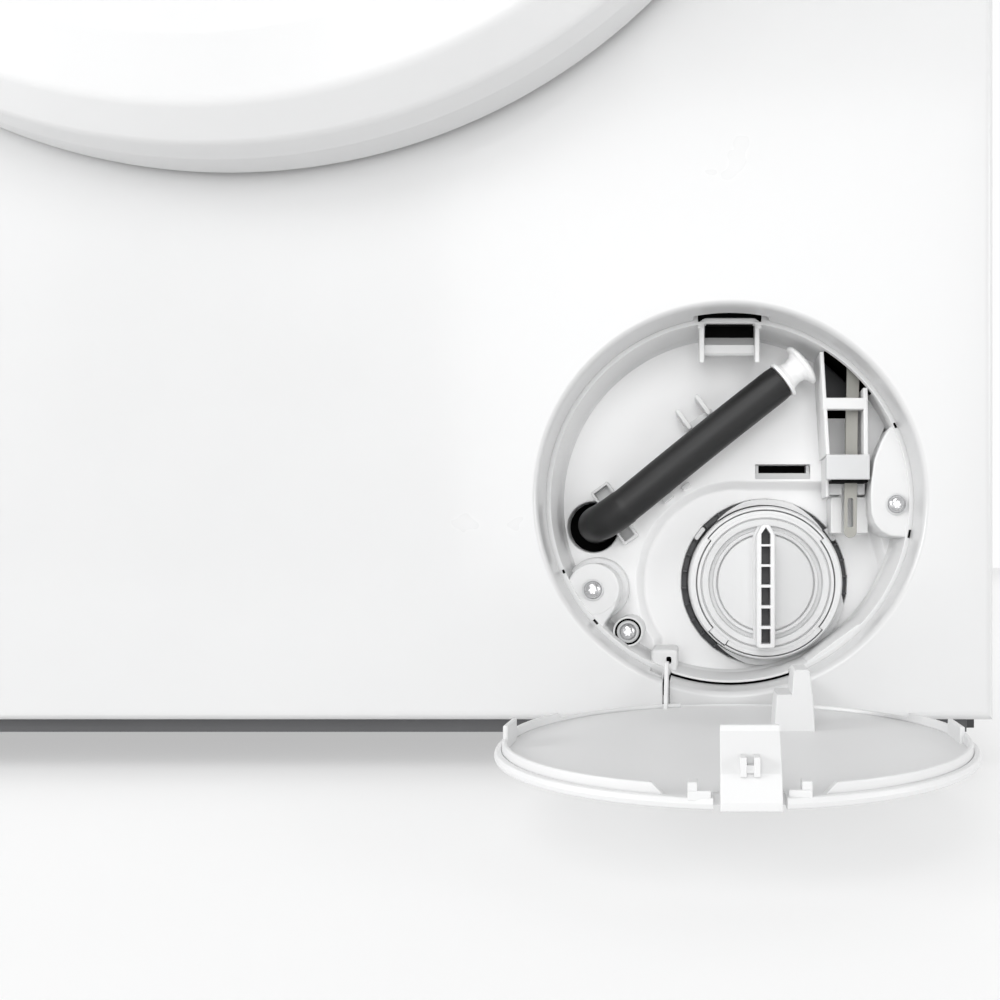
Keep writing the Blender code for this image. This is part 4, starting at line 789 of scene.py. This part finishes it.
def make_flap():
    skin = lathe("skin", fillet([(0, 3.7, 0), (71.5, 3.7, 1.2), (74.2, 4.2, 0.8), (74.6, 5.6, 0.5),
                                 (74.1, 6.9, 0.6), (72.6, 7.1, 0.4), (72.2, 6.6, 0.3),
                                 (0, 6.6, 0)], 0.5, 5), 0, FLAP_CENTRE, axis="Z")
    cut(skin, flap_block("cutter", (-7.6, 10.2), (-160, -142.6), (0, 20), 0))
    left = [(-12, 5.5), (-12, 9), (-4, 22.2), (-3, 23.4), (1.4, 23.4), (4.9, 9.5), (4.9, 6.9),
            (2.4, 6.5), (-0.9, 6.5), (-1.6, 5.5)]
    right = [(-14, 5.5), (-14, 10), (-5, 17.6), (1.5, 18.4), (4.9, 9.5), (4.9, 6.9), (2.4, 6.5),
             (-0.9, 6.5), (-1.6, 5.5)]
    post = stack("post", [(fillet([(13.0, -58.8), (26.8, -58.8), (26.8, -41.0), (13.0, -41.0)],
                                  0.5), 6.2),
                          (fillet([(14.0, -58.4), (26.0, -58.4), (26.0, -41.4), (14.0, -41.4)],
                                  0.5), 18.7)], "Z")
    tall = stack("post", [(fillet([(19.0, -58.4), (26.0, -58.4), (26.0, -41.4), (19.0, -41.4)],
                                  0.5), 17.7),
                          (fillet([(19.6, -58.2), (25.0, -58.2), (25.0, -41.6), (19.6, -41.6)],
                                  0.5), 26.3),
                          (fillet([(20.2, -57.6), (24.4, -57.6), (24.4, -42.2), (20.2, -42.2)],
                                  0.5), 26.9)], "Z")
    join(post, tall)
    pieces = [
        skin, post,
        flap_rim(-71.5, 30, 9.6), flap_rim(30, 74, 8.0), flap_rim(106, 150, 8.0),
        flap_rim(150, 251.5, 9.6),
        flap_arm("arm", (-25.9, -24.4), left), flap_arm("arm", (24.7, 26.3), right),
        flap_block("tab", (-71.0, -69.4), (-88, -74), (6, 13.6), 0.5),
        flap_block("tab", (69.4, 71.0), (-80, -64), (6, 11.8), 0.5),
        # posts beside the tongue
        flap_block("prong", (-13.8, -11.4), (-148.6, -144), (6.2, 10.6), 0.3),
        flap_block("prong", (-13.8, -8.1), (-149.0, -147.0), (6.2, 8.6), 0.3),
        flap_block("prong", (13.9, 16.4), (-147.6, -143), (6.2, 10.6), 0.3),
        flap_block("prong", (10.6, 16.4), (-148.0, -146.0), (6.2, 8.6), 0.3),
        lathe("rod", [(0, -32), (1.5, -32), (1.5, 36), (0, 36)], 3.7, 8.1, segments=24, axis="X"),
    ]
    # the raised wall slopes down to the floor on both sides of the tongue
    for side, angle in ((-1, -71.5), (1, 251.5)):
        a = math.radians(angle)
        ramp = pad("ramp", [(-0.5 * side, 6.2), (3.6 * side, 6.2), (3.6 * side, 6.6),
                            (0, 9.6), (-0.5 * side, 9.6)], -0.8, 0.8, 0.2, both=True)
        ramp.data.transform(Matrix.Translation((71.4 * math.cos(a),
                                                FLAP_CENTRE + 71.4 * math.sin(a), 0))
                            @ Matrix.Rotation(a + math.pi / 2, 4, "Z"))
        pieces.append(ramp)
    settle(merge("service_flap_moulding", pieces), FLAP, "service_flap", "flap_plastic",
           "service_flap")
    # the springy tongue, with its catch nub
    tongue = pad("tongue", fillet([(-150.2, 3.8), (-147.6, 3.8), (-145.9, 11.6), (-138.4, 20.8),
                                   (-138.4, 22.9), (-139.8, 22.9), (-140.2, 21.4), (-147.6, 12.4),
                                   (-150.2, 6.0)], 0.5, 3), -5.9, 9.1, 0.3, "X", True)
    nub = [flap_block("nub", (-1.1, 0.5), (-148.8, -143), (11.8, 16.6), 0.2),
           flap_block("nub", (2.2, 3.8), (-148.8, -143), (11.8, 16.6), 0.2),
           flap_block("nub", (0.2, 2.6), (-148.2, -143), (12.6, 14.6), 0.2),
           flap_block("root", (-6.0, 8.6), (-148.6, -139.6), (7.3, 8.6), 0.3)]
    settle(merge("flap_latch_detail", [tongue, *nub]), FLAP, "flap_latch", "flap_plastic",
           "flap_latch")


# ---- the door ------------------------------------------------------
def make_door():
    dz = DOOR.z
    outer = turned("door_ring_face", [(148, -28), (148, -33), (156, -39, 3), (200, -39, 8),
                                      (222, -35, 8), (233, -25, 6), (235, -16, 4), (235, -3),
                                      (231.5, -3), (231.5, -15, 4), (221, -31, 6),
                                      (200, -35.5, 6), (157, -35.5, 2), (152, -31, 2),
                                      (152, -28)], 0.8, 6, segments=192)
    lugs = [block("lug", (-236.4, -225), (-26, -14), (55.5, 60.9), 0.6),
            block("lug", (-236.4, -225), (-26, -14), (-60.9, -55.5), 0.6)]
    settle(merge("door_ring_face", [outer, *lugs]), DOOR, "door", "outer_plastic",
           "door_ring_outer")
    cover = turned("door_cover_glass", [(0, -37), (80, -36.5, 30), (130, -35, 30), (147.3, -32.5),
                                        (147.3, -29.5), (120, -32.6, 30), (0, -34)], 0.6, 6,
                   segments=192)
    settle(cover, DOOR, "door", "smoked_glass", "door_cover")
    inner = turned("door_ring_back", [(157, -12, 2), (157, -3, 1), (230.9, -3), (230.9, -6),
                                      (165, -6, 2), (165, -12)], 0.5, segments=192)
    cut(inner, block("cutter", (201, 216), (-20, 5), (-8, 8), 0))
    settle(inner, DOOR, "door", "grey_plastic", "door_ring_inner")
    bowl = turned("door_bowl_glass", [(156.4, -10), (156.4, -5, 2), (147, -4, 2), (142, 20, 20),
                                      (120, 60, 18), (95, 72, 10), (0, 74), (0, 69), (94, 67, 9),
                                      (116, 56, 16), (137, 18, 20), (142, -6, 3), (150, -10)], 1,
                  8, segments=192)
    settle(bowl, DOOR, "door", "glass", "door_glass")
    grip = pad("grip", ribbon(arc(0, 0, 205, -18, 18, 48), 7), -53, -46, 2.4, both=True, steps=5)
    feet = []
    for angle in (-16, 16):
        x, z = around(0, 0, 205, angle)
        feet.append(turned("foot", [(0, -48), (6, -48), (6.8, -39.8), (0, -39.8)], 0.6, x=x, z=z,
                           segments=48))
    settle(merge("door_handle_detail", [grip, *feet]), DOOR, "door", "steel", "door_handle",
           slot="white_plastic")


# ---- controls ------------------------------------------------------
KNOB = (-10.0, 776.0)
BUTTONS = {"power_button": -76.0, "start_button": 246.0}


def make_controls():
    knob = turned("program_knob_detail", [(0, -22), (19.5, -22, 1.5), (23.5, -20.4, 1.2),
                                          (25, -6, 1), (28, -3.4, 0.8), (28, -0.5), (4.5, -0.5),
                                          (4.5, 14), (0, 14)], 0.5, 5, x=KNOB[0], z=KNOB[1],
                  segments=96)
    grooves = [lathe("cutter", [(0, -19), (0.55, -19), (0.55, -5), (0, -5)],
                     *around(*KNOB, 24.9, 7.5 * k), segments=8) for k in range(48)]
    cut(knob, merge("cutter", grooves))
    mark = pad("mark", rectangle(KNOB[0] - 1.1, KNOB[1] + 7, KNOB[0] + 1.1, KNOB[1] + 18.6, 0.8),
               -22.7, -21, 0.3)
    settle(merge("program_knob_detail", [knob, mark]), MACHINE, "program_knob", "outer_plastic",
           "program_knob")
    for name, x in BUTTONS.items():
        button = turned("button", [(0, -1.9), (4.5, -2.1, 3), (7.2, -2.4, 0.7), (8, -1.4, 0.5),
                                   (8, 8), (0, 8)], 0.3, x=x, z=KNOB[1], segments=72)
        settle(merge(name + "_detail", [button]), MACHINE, name, "grey_plastic", name)
    # dial marks round the knob and rings round the buttons, printed with a little height
    marks = []
    for k in range(16):
        marks.append(pad("tick", tilted(*around(*KNOB, 32.5, 22.5 * k), 3.4, 0.8, 22.5 * k, 0.2),
                         -0.12, 0.3, 0.05))
    for x in BUTTONS.values():
        marks.append(lathe("ring", [(9.6, -0.12), (10.2, -0.12), (10.2, 0.3), (9.6, 0.3)], x,
                           KNOB[1], segments=72))
    settle(merge("fascia_marks", marks), MACHINE, "appliance", "grey_plastic")


# ---- CAD nodes that keep their shape -------------------------------
KEPT = {
    "white_steel": ("cabinet_shell",),
    "outer_plastic": ("worktop", "control_fascia", "detergent_drawer", "inlet_valve"),
    "grey_plastic": ("dispenser_box", "tub_front", "tub_rear", "pump_impeller", "fan_impeller",
                     "filter_insert", "outlet_hose"),
    "dark_plastic": ("base_pan", "pump_housing", "door_lock", "tub_damper_left",
                     "tub_damper_right", "mains_inlet", "foot_front_left", "foot_front_right",
                     "foot_rear_left", "foot_rear_right"),
    "black_rubber": ("drive_belt", "sump_hose", "filter_seal"),
    "seal_rubber": ("door_seal",),
    "steel": ("drum", "motor_pulley", "door_hook", "heater", "tub_spring_left",
              "tub_spring_right"),
    "galvanised": ("rear_panel", "door_hinge", "drum_spider", "drum_pulley", "motor",
                   "drying_duct"),
    "smoked_glass": ("display_window",),
    "cast_iron": ("counterweight_front", "counterweight_top"),
}
EDGES = {"worktop": 0, "control_fascia": 0.3, "detergent_drawer": 0.4, "cabinet_shell": 0.25,
         "base_pan": 0.3, "rear_panel": 0.3, "drum": 0.25}


def dress_kept_nodes():
    for finish_name, names in KEPT.items():
        for name in names:
            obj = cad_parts[name]
            obj.data.materials.clear()
            obj.data.materials.append(FINISHES[finish_name])
            obj.data.shade_smooth()
            weld = obj.modifiers.new("weld", "WELD")
            weld.merge_threshold = 0.00001
            width = EDGES.get(name, 0.2)
            if width:
                bevel = obj.modifiers.new("bevel", "BEVEL")
                bevel.width = width * MM
                bevel.segments = 2
                bevel.limit_method = "ANGLE"
                bevel.angle_limit = math.radians(38)
                bevel.use_clamp_overlap = True
            obj.data.set_sharp_from_angle(angle=math.radians(38))
            weigh = obj.modifiers.new("weighted", "WEIGHTED_NORMAL")
            weigh.keep_sharp = True


# ---- floor, light and camera ---------------------------------------
def make_stage():
    floor = new_object("floor", [(-6, -6, 0), (6, -6, 0), (6, 6, 0), (-6, 6, 0)], [[0, 1, 2, 3]])
    pale = finish("floor", (0.46, 0.46, 0.46), 0.8, spread=0.01, grain=200, grain_depth=0.05)
    shader = pale.node_tree.nodes["Principled BSDF"]
    shader.inputs["Emission Color"].default_value = (1, 1, 1, 1)
    shader.inputs["Emission Strength"].default_value = 0.46
    floor.data.materials.append(pale)
    world = bpy.data.worlds.new("studio")
    bpy.context.scene.world = world
    world.use_nodes = True
    nodes, links = world.node_tree.nodes, world.node_tree.links
    # bright behind the machine, softer in front of it
    heading = nodes.new("ShaderNodeTexCoord")
    split = nodes.new("ShaderNodeSeparateXYZ")
    spans = nodes.new("ShaderNodeMapRange")
    spans.interpolation_type = "SMOOTHSTEP"
    spans.inputs["From Min"].default_value = -0.3
    spans.inputs["From Max"].default_value = 0.5
    spans.inputs["To Min"].default_value = 0.42
    spans.inputs["To Max"].default_value = 1.0
    links.new(heading.outputs["Generated"], split.inputs["Vector"])
    links.new(split.outputs["Y"], spans.inputs["Value"])
    nodes["Background"].inputs["Color"].default_value = (1, 1, 1, 1)
    links.new(spans.outputs["Result"], nodes["Background"].inputs["Strength"])


def area_light(name, place, aim, size, watts):
    light = bpy.data.lights.new(name, "AREA")
    light.shape, light.size, light.energy = "SQUARE", size, watts
    obj = bpy.data.objects.new(name, light)
    obj.location = place
    obj.rotation_mode = "QUATERNION"
    obj.rotation_quaternion = (Vector(aim) - Vector(place)).to_track_quat("-Z", "Y")
    bpy.context.scene.collection.objects.link(obj)


def make_lights():
    area_light("key", (-0.7, -3.2, 2.9), HATCH, 1.9, 36)
    area_light("fill", (0.2, -3.6, 0.8), HATCH, 2.0, 38)
    area_light("left", (-2.0, -1.2, 0.8), HATCH, 1.0, 27)
    area_light("right", (2.3, -1.2, 0.6), HATCH, 1.0, 17)
    area_light("rim", (0.4, 2.4, 2.2), (0, 0.1, 0.5), 1.6, 12)


def make_camera():
    data = bpy.data.cameras.new("camera")
    data.lens, data.sensor_width = 35, 36
    data.shift_x, data.shift_y = -0.209, 0.055
    data.clip_start, data.clip_end = 0.01, 50
    camera = bpy.data.objects.new("camera", data)
    camera.location = (HATCH.x - 8.6 * MM, FRONT - 382 * MM, HATCH.z - 22.2 * MM)
    camera.rotation_euler = (math.pi / 2, 0, 0)
    bpy.context.scene.collection.objects.link(camera)
    bpy.context.scene.camera = camera


# ---- making it -----------------------------------------------------
make_finishes()
make_camera()
make_lights()
make_stage()
make_front_panel()
make_insert()
make_hatch_painted_shade()
make_strap_guide()
make_screws()
make_filter()
make_pump_mouth()
make_hose()
make_strap()
make_flap()
make_door()
make_controls()
dress_kept_nodes()
bpy.context.scene.view_settings.view_transform = "Standard"
